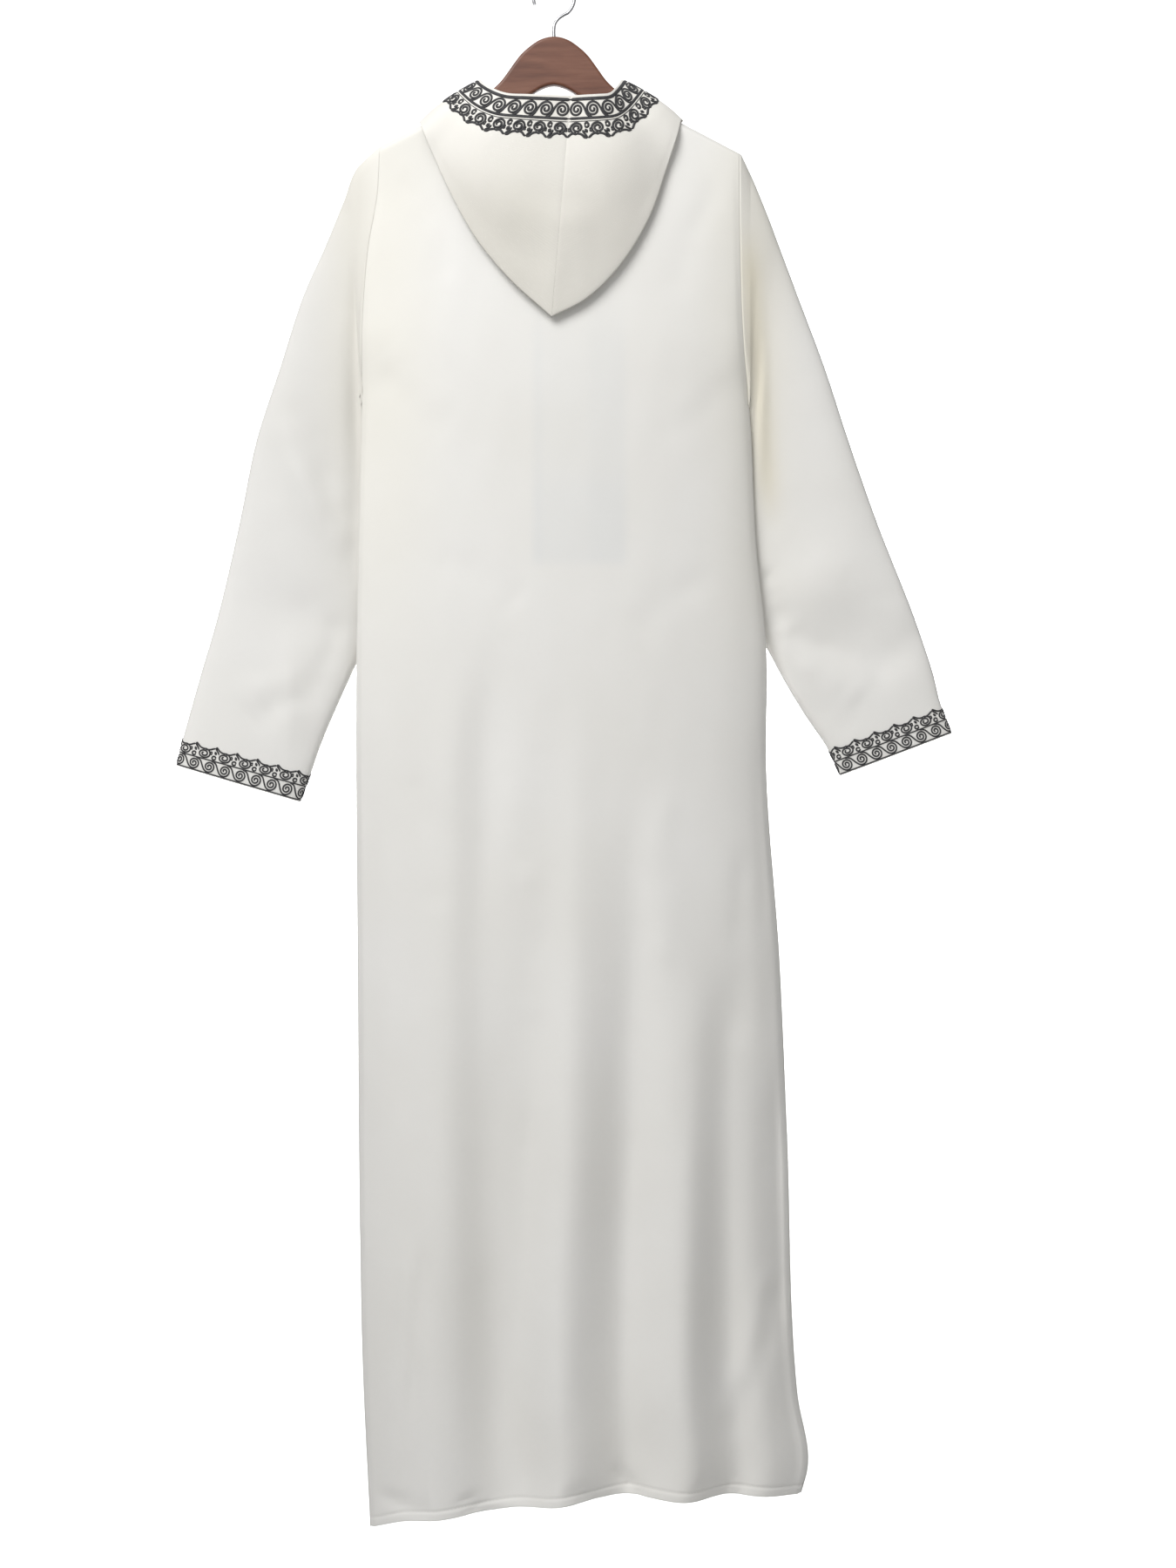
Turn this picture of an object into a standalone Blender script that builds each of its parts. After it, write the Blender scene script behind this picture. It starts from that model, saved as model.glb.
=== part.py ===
"""A hooded abaya hanging on a wooden hanger: cloth panels, sleeves, hood and trims as thin walls, at real size.

The origin is the inner crown of the hanger's hook. +Z is up. The garment's back faces -Y, and +X is on the
right of someone who looks at that back. Tables and sizes are in millimetres. A drop is a distance below the
top of the wooden hanger. Each panel is a surface worked out from its sizes, given a wall by Solidify.
"""

import math

import bmesh
import bpy
import numpy as np

# Sizes of the whole
MM = 0.001
SAME_PLACE = 0.01
HOOK_HEIGHT = 62.0
SEAM_GAP = 0.3
ARMHOLE_GAP = 0.6
SEAM_LIFT = 0.65
CLOTH = 1.6
TRIM = 1.0
TRIM_GAP = 0.4

# Neck and shoulders: the seam line runs over the hanger's arms
NECK_HALF_WIDTH = 84.0
NECK_HALF_DEPTH = 12.0
NECK_POINT_DROP = 66.0
NECK_DROP_BACK = 22.0
NECK_DROP_FRONT = 80.0
NECK_SQUARENESS = 14
NECK_EASE = 40.0
FRONT_NECK_POWER = 1.2
SHOULDER_LEFT_X = -183.0
SHOULDER_RIGHT_X = 195.0
SHOULDER_LEFT_DROP = 117.0
SHOULDER_RIGHT_DROP = 124.0
WRAP_DROP = 8.0

# Armholes: a slot from the shoulder tip to the underarm
ARMHOLE_HEIGHT = 262.0
ARMHOLE_HALF_WIDTH = 8.2
ARMHOLE_CLOSING = 70.0
EDGE_STRIP = 1.6

# Grid of a body panel: columns of a shoulder, rows of each panel, the part of the length over which the columns
# spread from the neckline's places to even ones, and close rows over the hanger's arm
SHOULDER_COLUMNS = 6
BACK_ROWS = 30
FRONT_ROWS = 26
SPREAD_PART = 0.2
CLOSE_ROWS = (0.0, 1.2, 4.0, 8.0, 16.0, 30.0, 50.0)
FIRST_EVEN_ROW = 0.05
PANEL_WIDTH = 430.0
PANEL_LENGTH = 1450.0
FACE_STEPS = 12

# Body edges, seen from the back: drop, x
LEFT_EDGE = (
    (117, -183),
    (170, -186),
    (221, -195),
    (290, -201),
    (400, -203),
    (609, -208),
    (1018, -207),
    (1250, -205),
    (1400, -202),
    (1572, -194),
)
RIGHT_EDGE = (
    (124, 195),
    (221, 196),
    (313, 199),
    (405, 207),
    (533, 213),
    (646, 224),
    (770, 224),
    (972, 238),
    (1156, 246),
    (1432, 257),
    (1515, 267),
    (1536, 261),
)

# Half depth of the hanging body in the middle of a panel: drop, depth
DEPTH = (
    (60, 10),
    (120, 12),
    (200, 21),
    (320, 32),
    (500, 38),
    (800, 46),
    (1150, 56),
    (1572, 64),
)

# A panel's cross-section: how flat its middle is, and how full its sides are
SECTION_FLATNESS = 2.4
SECTION_FULLNESS = 0.6

# Hem: part of the width from the left, drop of the back, drop of the front
HEM = (
    (0.00, 1572, 1572),
    (0.07, 1558, 1562),
    (0.18, 1549, 1553),
    (0.35, 1538, 1545),
    (0.43, 1531, 1541),
    (0.58, 1525, 1536),
    (0.74, 1527, 1532),
    (0.85, 1529, 1531),
    (1.00, 1536, 1536),
)

# Folds of the skirt part: part of the width from the left, height outward, drop where the fold begins
BACK_FOLDS = (
    (0.00, 0, 700),
    (0.13, 17, 760),
    (0.34, -14, 700),
    (0.43, 19, 640),
    (0.58, -17, 640),
    (0.73, 20, 820),
    (0.84, -14, 900),
    (0.92, 11, 1000),
    (1.00, 0, 1000),
)
FRONT_FOLDS = (
    (0.00, 0, 700),
    (0.10, 13, 900),
    (0.24, -13, 760),
    (0.38, 18, 700),
    (0.52, -15, 640),
    (0.66, 19, 700),
    (0.80, -14, 820),
    (0.91, 14, 900),
    (1.00, 0, 900),
)
FOLD_GROWTH = 760.0
FOLD_LEAN = 0.11
FOLD_LEAN_START = 700.0
FOLD_LEAN_LENGTH = 850.0

# Sleeves: along, outer x, outer drop, inner x, inner drop, shift forward, half depth
LEFT_SLEEVE = (
    (0.00, -183, 117, -203, 379, 0, 8),
    (0.05, -206, 136, -209, 392, 5, 10),
    (0.12, -222, 172, -204, 420, 12, 13),
    (0.20, -242, 218, -194, 460, 18, 15),
    (0.30, -267, 273, -186, 508, 22, 17),
    (0.40, -291, 347, -182, 552, 24, 18),
    (0.50, -315, 420, -186, 596, 25, 19),
    (0.62, -334, 512, -206, 646, 24, 19),
    (0.74, -355, 604, -227, 693, 22, 18),
    (0.86, -376, 678, -249, 745, 20, 17),
    (0.94, -393, 740, -260, 777, 18, 16),
    (1.00, -400, 769, -271, 807, 17, 15),
)
RIGHT_SLEEVE = (
    (0.00, 195, 124, 206, 386, 0, 8),
    (0.05, 206, 143, 212, 400, 5, 10),
    (0.12, 223, 181, 209, 428, 12, 13),
    (0.20, 239, 221, 200, 466, 18, 15),
    (0.30, 259, 273, 192, 510, 22, 17),
    (0.40, 287, 347, 190, 552, 24, 18),
    (0.50, 311, 420, 198, 594, 25, 19),
    (0.62, 343, 512, 226, 641, 24, 19),
    (0.74, 379, 604, 247, 680, 22, 18),
    (0.86, 401, 670, 270, 718, 20, 17),
    (0.94, 410, 706, 292, 751, 18, 16),
    (1.00, 421, 735, 305, 779, 17, 15),
)
SLEEVE_CLEARANCE = 2.2
SLEEVE_SHIFT_PART = 0.05
FRONT_FOLD_SHARE = 0.6
SLEEVE_HALF_RING = 10
MORE_SLEEVE_PLACES = (0.35, 0.45, 0.56, 0.68, 0.8)

# Sleeve folds: along and across where the fold's middle lies, its run along and across, half width, height
LEFT_SLEEVE_FOLDS = (
    (0.46, 0.30, 0.10, 0.55, 0.055, 9),
    (0.66, 0.55, 0.08, -0.70, 0.050, -7),
    (0.82, 0.70, 0.12, 0.30, 0.060, 6),
)
RIGHT_SLEEVE_FOLDS = (
    (0.62, 0.50, 0.12, -0.75, 0.050, 10),
    (0.74, 0.40, 0.10, -0.70, 0.050, -8),
    (0.30, 0.60, 0.15, 0.30, 0.060, 6),
)

# Hood: station from the centre back (0) round the side (6) to the centre front (12),
# then the fold's x, drop and distance outward, and the face edge's x, drop and y
HOOD_LEFT = (
    (0.0, -2, 302, 9, 18, 73, -44),
    (1.5, -66, 240, 9, -15, 72, -46),
    (3.0, -108, 169, 8, -49, 69, -40),
    (4.5, -132, 114, 7, -71, 56, -23),
    (6.0, -142, 90, 6, -78, 45, 0),
    (7.5, -126, 112, 7, -74, 55, 21),
    (9.0, -94, 146, 7, -58, 82, 30),
    (10.5, -50, 166, 6, -32, 112, 30),
    (12.0, -4, 150, 3, -3, 133, 27),
)
HOOD_RIGHT = (
    (0.0, -2, 302, 9, 18, 73, -44),
    (1.5, 52, 268, 9, 38, 72, -46),
    (3.0, 100, 195, 8, 58, 69, -40),
    (4.5, 124, 122, 7, 67, 56, -23),
    (6.0, 136, 89, 6, 72, 45, 0),
    (7.5, 126, 112, 7, 72, 55, 21),
    (9.0, 98, 146, 7, 60, 82, 30),
    (10.5, 50, 166, 6, 32, 112, 30),
    (12.0, 4, 150, 3, 3, 133, 27),
)
HOOD_STATIONS = 12
SIDE_STATION = 6
NEAR_SIDE = 0.5
SIDE_LIFT = 2.0
SIDE_LIFT_POWER = 8
ROLL_HEIGHT = 7.0
ROLL_WIDTH = 7.0
HOOD_CLEARANCE = 3.2
POUCH_BULGE = 12.0
TRIM_EDGE = 2.3
HOOD_TRIM_WIDTH = 43.0
MOST_OF_HOOD = 0.8
INNER_PARTS = (0.22, 0.48, 0.74, 0.93)
INNER_LIFT_START = 0.6
PATH_POINTS = 41

# Cuffs and front slit
CUFF_TRIM_PLACES = (0.94, 0.967, 0.9965)
SLIT_GAP = 0.8
SLIT_LEAN = 0.035
SLIT_DROP = 560.0
PLACKET_WIDTH = 43.0
PLACKET_TOP = 6.0
PLACKET_GAP = 0.85
PLACKET_INSET = 0.6
PLACKET_ROWS = 14
PLACKET_COLUMNS = 4

# Hanger, drawn as half of its outline: x, drop along the top, then back along the underside
HANGER_THICKNESS = 12.0
HANGER_TOP = (
    (0, 0),
    (8, 1),
    (16, 4),
    (25, 10),
    (35, 19),
    (42, 28),
    (48, 36.5),
    (55, 46),
    (63, 54),
    (73, 61),
    (84, 69.5),
)
HANGER_UNDERSIDE = ((66, 94), (46, 74), (24, 61), (12, 54), (0, 51))
ARM_CLEARANCE = 3.4
TIP_INSET = 6.0
TIP_HEIGHT = 20.0
HANGER_ROUND = 3.0
ARM_POINTS = 5
TIP_TURNS = (50, 15, -20, -55)
TIP_HEEL = 4.0

# Hook of steel wire
WIRE = 3.4
CROWN_RADIUS = 20.0
CROWN_TURNS = (-48.0, 200.0, 26)
STEM = ((0.0, -52.0), (1.0, -47.5), (5.0, -42.0), (10.0, -38.5))


def smooth_step(part):
    part = np.clip(part, 0.0, 1.0)
    return part * part * (3.0 - 2.0 * part)


def read(rows, at, column):
    """A column of a table at values of its first column, joined by a smooth curve."""
    knots = np.array([row[0] for row in rows], float)
    values = np.array([row[column] for row in rows], float)
    slopes = np.gradient(values, knots)
    at = np.clip(at, knots[0], knots[-1])
    index = np.clip(np.searchsorted(knots, at, side="right") - 1, 0, len(knots) - 2)
    step = knots[index + 1] - knots[index]
    part = (at - knots[index]) / step
    rise = part * part * (3.0 - 2.0 * part)
    start_slope = part * (1.0 - part) ** 2 * step * slopes[index]
    end_slope = part * part * (part - 1.0) * step * slopes[index + 1]
    return values[index] + (values[index + 1] - values[index]) * rise + start_slope + end_slope


def world(x, y, drop):
    """Millimetres across, forward and below the hanger's top, as points in millimetres."""
    return np.stack(np.broadcast_arrays(x, y, -HOOK_HEIGHT - np.asarray(drop, float)), axis=-1)


# Body


def column_places(front):
    """Parts of the width at the shoulder line and, below it, evenly spread. Both start and end with a strip."""
    width = SHOULDER_RIGHT_X - SHOULDER_LEFT_X
    strip = EDGE_STRIP / width
    neck_left = (-NECK_HALF_WIDTH - SHOULDER_LEFT_X) / width
    neck_right = (NECK_HALF_WIDTH - SHOULDER_LEFT_X) / width
    left = np.linspace(strip, neck_left, SHOULDER_COLUMNS)
    right = np.linspace(neck_right, 1.0 - strip, SHOULDER_COLUMNS)
    angles = np.linspace(0.0, math.pi, HOOD_STATIONS + 1)
    middle = (neck_left + neck_right) / 2.0
    neck = middle - (neck_right - neck_left) / 2.0 * np.cos(angles)
    top = np.concatenate([[0.0], left, neck[1:-1], right, [1.0]])
    even = np.concatenate([[0.0], np.linspace(strip, 1.0 - strip, len(top) - 2), [1.0]])
    inner = np.clip((even - strip) / (1.0 - 2.0 * strip), 0.0, 1.0)
    lean = SLIT_LEAN * np.sin(math.pi * inner) if front else 0.0
    return top, even + lean


def row_places(count):
    """Parts of the length: a few close rows over the hanger's arm, then wider ones to the hem."""
    close = np.array(CLOSE_ROWS) / PANEL_LENGTH
    return np.concatenate([close, np.linspace(FIRST_EVEN_ROW, 1.0, count)])


def top_drop(x, front):
    """The seam line: shoulder, neckline, shoulder."""
    left = NECK_POINT_DROP + (-NECK_HALF_WIDTH - x) * (SHOULDER_LEFT_DROP - NECK_POINT_DROP) / (
        -NECK_HALF_WIDTH - SHOULDER_LEFT_X
    )
    right = NECK_POINT_DROP + (x - NECK_HALF_WIDTH) * (SHOULDER_RIGHT_DROP - NECK_POINT_DROP) / (
        SHOULDER_RIGHT_X - NECK_HALF_WIDTH
    )
    part = np.clip(1.0 - np.abs(x / NECK_HALF_WIDTH) ** 2, 0.0, 1.0)
    neck = NECK_POINT_DROP + (NECK_DROP_FRONT * part**FRONT_NECK_POWER if front else NECK_DROP_BACK * part)
    return np.where(x < -NECK_HALF_WIDTH, left, np.where(x > NECK_HALF_WIDTH, right, neck))


def top_depth(x):
    """How far the seam line stands from the middle plane."""
    part = np.clip(1.0 - np.abs(x / NECK_HALF_WIDTH) ** NECK_SQUARENESS, 0.0, 1.0)
    return SEAM_GAP / 2.0 + NECK_HALF_DEPTH * np.sqrt(part)


def over_arm(below):
    """0 on the seam line and 1 where the cloth has passed over the hanger's arm."""
    part = np.clip(below / WRAP_DROP, 0.0, 1.0)
    return np.sqrt(1.0 - (1.0 - part) ** 2)


def armhole_opening(drop, tip_drop):
    """Half the armhole's width at a drop, from the shoulder tip to the underarm."""
    to_underarm = tip_drop + ARMHOLE_HEIGHT - drop
    return ARMHOLE_HALF_WIDTH * smooth_step(to_underarm / ARMHOLE_CLOSING)


def fold_height(across, drop, front):
    """The skirt's folds, which begin at the waist, grow and lean to the left as they fall."""
    rows = FRONT_FOLDS if front else BACK_FOLDS
    fallen = np.clip((drop - FOLD_LEAN_START) / FOLD_LEAN_LENGTH, 0.0, 1.0)
    place = across - FOLD_LEAN * (1.0 - fallen) * np.sin(math.pi * across)
    return read(rows, place, 1) * smooth_step((drop - read(rows, place, 2)) / FOLD_GROWTH)


def body_depth(across, drop, front):
    """Distance of a panel's inner face from the middle plane, below the seam line."""
    from_middle = np.abs(2.0 * across - 1.0)
    shape = np.clip(1.0 - from_middle**SECTION_FLATNESS, 0.0, 1.0) ** SECTION_FULLNESS
    edge_left = armhole_opening(drop, SHOULDER_LEFT_DROP)
    edge_right = armhole_opening(drop, SHOULDER_RIGHT_DROP)
    edge = SEAM_GAP / 2.0 + edge_left + (edge_right - edge_left) * across
    return edge + (read(DEPTH, drop, 1) - edge) * shape + fold_height(across, drop, front) * shape


def panel_at(across, part, front):
    """A panel's inner face at a part of its width and of its length: x, distance from the middle plane, drop."""
    shoulder_x = SHOULDER_LEFT_X + (SHOULDER_RIGHT_X - SHOULDER_LEFT_X) * across
    start = top_drop(shoulder_x, front)
    drop = start + (read(HEM, across, 2 if front else 1) - start) * part
    left = read(LEFT_EDGE, SHOULDER_LEFT_DROP + (HEM[0][1] - SHOULDER_LEFT_DROP) * part, 1)
    right = read(RIGHT_EDGE, SHOULDER_RIGHT_DROP + (HEM[-1][1] - SHOULDER_RIGHT_DROP) * part, 1)
    strip = EDGE_STRIP / (SHOULDER_RIGHT_X - SHOULDER_LEFT_X)
    depth = body_depth(np.clip((across - strip) / (1.0 - 2.0 * strip), 0.0, 1.0), drop, front)
    seam = top_depth(shoulder_x)
    neck = np.clip((seam - SEAM_GAP) / NECK_HALF_DEPTH, 0.0, 1.0)
    below = drop - start
    passed = over_arm(below) * (1.0 - neck) + smooth_step(below / NECK_EASE) * neck
    return left + (right - left) * across, seam + (depth - seam) * passed, drop


def panel_points(front, rows):
    """Points of a body panel's inner face, row by row from the seam line down."""
    top, even = column_places(front)
    lines = []
    for part in row_places(rows):
        mix = smooth_step(part / SPREAD_PART)
        x, depth, drop = panel_at(top * (1.0 - mix) + even * mix, part, front)
        lines.append(world(x, depth if front else -depth, drop))
    return np.array(lines)


def body_face(x, drop, front):
    """How far a panel's outer face stands from the middle plane at a place across and a drop."""
    across = np.full(np.shape(x), 0.5)
    part = np.full(np.shape(x), 0.5)
    for _ in range(FACE_STEPS):
        near_x, depth, near_drop = panel_at(across, part, front)
        across = np.clip(across + (x - near_x) / PANEL_WIDTH, 0.0, 1.0)
        part = np.clip(part + (drop - near_drop) / PANEL_LENGTH, 0.0, 1.0)
    return panel_at(across, part, front)[1] + CLOTH


# Sleeves


def front_face(x, drop):
    """The outer face of the front panel near its edges, as a distance forward, and where there is one."""
    inside = (x > read(LEFT_EDGE, drop, 1)) & (x < read(RIGHT_EDGE, drop, 1))
    return np.where(inside, body_face(x, drop, True), 0.0), inside


def sleeve_fold(folds, along, across):
    """Folds that cross the sleeve: soft ridges and troughs along short slanted lines."""
    total = np.zeros_like(across)
    for fold_along, fold_across, run_along, run_across, half_width, height in folds:
        length = math.hypot(run_along, run_across)
        away = along - fold_along
        aside = across - fold_across
        on_line = (away * run_along + aside * run_across) / length
        off_line = (away * run_across - aside * run_along) / length
        ends = np.exp(-((on_line / (0.5 * length)) ** 2))
        total = total + height * np.exp(-((off_line / half_width) ** 2)) * ends
    return total


def ring_places(half):
    """Places round a sleeve: down the back layer from the outer edge, then up the front layer."""
    down = (1.0 - np.cos(np.linspace(0.0, math.pi, half + 1))) / 2.0
    return np.concatenate([down, down[-2:0:-1]]), np.concatenate([-np.ones(half + 1), np.ones(half - 1)])


def sleeve_points(rows, folds, along_places, half):
    """Points of a sleeve's inner face, ring by ring from the armhole to the cuff."""
    left = rows[0][1] < 0
    tip_drop = SHOULDER_LEFT_DROP if left else SHOULDER_RIGHT_DROP
    edge = LEFT_EDGE if left else RIGHT_EDGE
    outward = -1.0 if left else 1.0
    across, layer = ring_places(half)
    rings = []
    for along in along_places:
        outer_x, outer_drop, inner_x, inner_drop = (float(read(rows, along, c)) for c in (1, 2, 3, 4))
        x = outer_x + (inner_x - outer_x) * across
        drop = outer_drop + (inner_drop - outer_drop) * across
        lens = np.sqrt(np.clip(1.0 - (1.0 - 2.0 * across) ** 2, 0.0, 1.0))
        fold = sleeve_fold(folds, along, across) * lens
        half_depth = read(rows, along, 6) * lens
        y = read(rows, along, 5) * smooth_step(along / SLEEVE_SHIFT_PART) + layer * half_depth
        y = y + layer * np.where(layer < 0, fold, FRONT_FOLD_SHARE * fold)
        face, inside = front_face(x, drop)
        hidden = face + CLOTH + SLEEVE_CLEARANCE
        y = np.where(inside, np.maximum(y, hidden + np.where(layer > 0, 2.0 * half_depth, 0.0)), y)
        rings.append(world(x, y, drop))
    seam_drop = tip_drop + ARMHOLE_HEIGHT * across
    opening = armhole_opening(seam_drop, tip_drop) * over_arm(seam_drop - tip_drop)
    seam_x = read(edge, seam_drop, 1) + outward * ARMHOLE_GAP
    seam = world(seam_x, layer * opening, seam_drop)
    shoulder_slope = (tip_drop - NECK_POINT_DROP) / (abs(edge[0][1]) - NECK_HALF_WIDTH)
    strip = seam + np.array([outward * EDGE_STRIP, 0.0, -shoulder_slope * EDGE_STRIP])
    return np.array([seam, strip] + rings)


# Hood


def neck_outward(x, y):
    """The direction out of the neckline, level with the ground."""
    power = NECK_SQUARENESS
    slope_x = math.copysign(power * abs(x / NECK_HALF_WIDTH) ** (power - 1) / NECK_HALF_WIDTH, x)
    slope_y = 2.0 * y / NECK_HALF_DEPTH**2
    length = np.hypot(slope_x, slope_y)
    return slope_x / length, slope_y / length


def over_shoulder(x, y, drop):
    """A drop raised where needed, so that the hood passes clear over the shoulder's ridge."""
    half_width = ARMHOLE_HALF_WIDTH + CLOTH + HOOD_CLEARANCE
    part = np.clip(np.abs(y) / half_width, 0.0, 1.0)
    ridge = top_drop(x, y > 0) - CLOTH - HOOD_CLEARANCE + WRAP_DROP * (1.0 - np.sqrt(1.0 - part**2))
    return np.where(part < 1.0, np.minimum(drop, ridge), drop)


def bowed_path(start, middle, end, parts):
    """Points of a parabola from start to end, pulled toward the middle point."""
    parts = parts[:, None]
    return start * (1.0 - parts) ** 2 + middle * 2.0 * parts * (1.0 - parts) + end * parts**2


def hood_section(rows, station, side):
    """One section of the hood, from the neck seam over the roll, down to the fold and up to the face edge."""
    angle = math.pi * station / HOOD_STATIONS
    x = side * NECK_HALF_WIDTH * math.sin(angle)
    facing = np.clip(station - SIDE_STATION, -1.0, 1.0)
    y = float(top_depth(x)) * (0.0 if abs(facing) < 0.01 else math.copysign(1.0, facing))
    drop = float(top_drop(x, facing > 0))
    out_x, out_y = neck_outward(x, y)
    lift = SEAM_LIFT + SIDE_LIFT * math.sin(angle) ** SIDE_LIFT_POWER
    seat = np.array([x + out_x * CLOTH / 2.0, y + out_y * CLOTH / 2.0, drop - lift])
    out = np.array([out_x, out_y, 0.0])
    up = np.array([0.0, 0.0, -1.0])
    roll = [
        seat,
        seat + up * 0.55 * ROLL_HEIGHT,
        seat + up * ROLL_HEIGHT + out * 0.5 * ROLL_WIDTH,
        seat + up * 0.5 * ROLL_HEIGHT + out * ROLL_WIDTH,
    ]
    fold_x, fold_drop, fold_out, edge_x, edge_drop, edge_y = (float(read(rows, station, c)) for c in range(1, 7))
    fold_y = facing * (float(body_face(fold_x, fold_drop, facing > 0)) + fold_out)
    fold = np.array([fold_x, fold_y, float(over_shoulder(fold_x, fold_y, fold_drop))])
    edge = np.array([edge_x, edge_y, edge_drop])
    inner = []
    for part in INNER_PARTS:
        point = roll[-1] + (fold - roll[-1]) * part
        level = max(point[2], float(top_drop(point[0], facing > 0)) + WRAP_DROP)
        face = float(body_face(point[0], level, facing > 0)) + HOOD_CLEARANCE
        pull = facing * face if abs(facing) > 0.99 else facing * max(face, abs(point[1]))
        point[1] = pull + (fold_y - pull) * smooth_step((part - INNER_LIFT_START) / (1.0 - INNER_LIFT_START))
        point[2] = float(over_shoulder(point[0], point[1], point[2]))
        inner.append(point)
    bow = (fold + edge) / 2.0 + POUCH_BULGE * np.array([out_x * abs(math.sin(angle)), out_y, 0.0])
    fine = bowed_path(fold, bow, edge, np.linspace(0.0, 1.0, PATH_POINTS))
    steps = np.linalg.norm(np.diff(fine, axis=0), axis=1)
    from_edge = np.concatenate([[0.0], np.cumsum(steps[::-1])])[::-1]
    length = from_edge[0]
    trim = min(HOOD_TRIM_WIDTH + TRIM_EDGE, MOST_OF_HOOD * length)
    wanted = [
        length,
        trim + (length - trim) * 0.86,
        trim + (length - trim) * 0.5,
        trim,
        trim * 0.66 + TRIM_EDGE * 0.34,
        trim * 0.33 + TRIM_EDGE * 0.67,
        TRIM_EDGE,
        0.0,
    ]
    places = np.interp(-np.array(wanted), -from_edge, np.linspace(0.0, 1.0, PATH_POINTS))
    return np.array(roll + inner + list(bowed_path(fold, bow, edge, places)))


def hood_points(rows, stations):
    """Points of one half of the hood. Rows run from the neck seam to the face edge, columns round the neck."""
    side = -1.0 if rows[2][1] < 0 else 1.0
    sections = [hood_section(rows, station, side) for station in stations]
    gap = np.array([side * SEAM_GAP, 0.0, 0.0])
    strip = np.array([side * EDGE_STRIP, 0.0, 0.0])
    first = sections[0] + gap
    last = sections[-1] + gap
    sections = [first, first + strip] + sections[1:-1] + [last + strip, last]
    points = np.array(sections).transpose(1, 0, 2)
    return world(points[..., 0], points[..., 1], points[..., 2])


# Trims


def normals_of(points, closed):
    """Normals of a grid, out of the side that faces its build_mesh faces."""
    down = np.gradient(points, axis=0)
    if closed:
        right = np.roll(points, -1, axis=1) - np.roll(points, 1, axis=1)
    else:
        right = np.gradient(points, axis=1)
    normal = np.cross(down, right)
    return normal / np.linalg.norm(normal, axis=-1, keepdims=True)


def moved_out(points, distance, closed=False):
    return points + normals_of(points, closed) * distance


def placket_points(side):
    """A band beside the front slit, on the panel's outer face."""
    drops = np.linspace(NECK_POINT_DROP + NECK_DROP_FRONT + PLACKET_TOP, SLIT_DROP, PLACKET_ROWS)
    lines = []
    for drop in drops:
        slit = slit_x(drop)
        x = slit + side * np.linspace(SLIT_GAP / 2.0 + PLACKET_INSET, PLACKET_WIDTH, PLACKET_COLUMNS)
        start = np.maximum(drop, top_drop(x, True) + PLACKET_TOP)
        y = body_face(x, start, True) + PLACKET_GAP
        lines.append(world(x, y, start))
    return np.array(lines)


def slit_x(drop):
    """The slit's place across at a drop: the middle column of the front panel."""
    top, even = column_places(True)
    middle = len(top) // 2
    start = NECK_POINT_DROP + NECK_DROP_FRONT
    part = (drop - start) / (float(read(HEM, 0.5, 2)) - start)
    mix = smooth_step(part / SPREAD_PART)
    return float(panel_at(top[middle] * (1.0 - mix) + even[middle] * mix, part, True)[0])


def with_slit(points):
    """The front panel's points with the middle column doubled, and parted down to the slit's end."""
    middle = points.shape[1] // 2
    doubled = np.insert(points, middle, points[:, middle], axis=1)
    open_rows = -HOOK_HEIGHT - doubled[:, middle, 2] < SLIT_DROP
    doubled[open_rows, middle, 0] -= SLIT_GAP / 2.0
    doubled[open_rows, middle + 1, 0] += SLIT_GAP / 2.0
    return doubled, middle


# Hanger and hook


def hanger_outline():
    """The wooden hanger's outline: hump, right arm and tip, underside, then the left arm."""
    right = half_outline(SHOULDER_RIGHT_X)
    left = half_outline(SHOULDER_LEFT_X)
    return right + left[-2:0:-1]


def half_outline(shoulder_x):
    side = math.copysign(1.0, shoulder_x)
    tip = abs(shoulder_x) - TIP_INSET
    top = [(side * x, drop) for x, drop in HANGER_TOP]
    for x in np.linspace(HANGER_TOP[-1][0], tip - TIP_HEIGHT / 2.0, ARM_POINTS)[1:]:
        top.append((side * x, float(top_drop(side * x, False)) + ARM_CLEARANCE))
    end_x, end_drop = top[-1]
    middle = (end_x, end_drop + TIP_HEIGHT / 2.0)
    for turn in np.radians(TIP_TURNS):
        round_x = middle[0] + side * TIP_HEIGHT / 2.0 * math.cos(turn)
        top.append((round_x, middle[1] - TIP_HEIGHT / 2.0 * math.sin(turn)))
    top.append((middle[0] - side * TIP_HEEL, middle[1] + TIP_HEIGHT / 2.0))
    return top + [(side * x, drop) for x, drop in HANGER_UNDERSIDE]


def build_hanger(collection, made):
    outline = hanger_outline()
    curve = bpy.data.curves.new("hanger", "CURVE")
    curve.dimensions = "2D"
    curve.fill_mode = "BOTH"
    curve.extrude = (HANGER_THICKNESS / 2.0 - HANGER_ROUND) * MM
    curve.bevel_depth = HANGER_ROUND * MM
    curve.bevel_resolution = 1
    curve.offset = -HANGER_ROUND * MM
    spline = curve.splines.new("POLY")
    spline.points.add(len(outline) - 1)
    for point, (x, drop) in zip(spline.points, outline):
        point.co = (x * MM, -(HOOK_HEIGHT + drop) * MM, 0.0, 1.0)
    spline.use_cyclic_u = True
    piece = bpy.data.objects.new("hanger", curve)
    piece.rotation_euler = (math.pi / 2.0, 0.0, 0.0)
    curve.materials.append(made)
    collection.objects.link(piece)
    return piece


def hook_route():
    """The wire's centre line: up from the hanger, round the crown and down to the tip. The crown is at x 0."""
    radius = CROWN_RADIUS + WIRE / 2.0
    crown = [
        (radius * math.cos(turn), -CROWN_RADIUS + radius * math.sin(turn))
        for turn in np.radians(np.linspace(*CROWN_TURNS))
    ]
    return [(0.0, -HOOK_HEIGHT + SEAM_GAP), *STEM, *crown]


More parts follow.
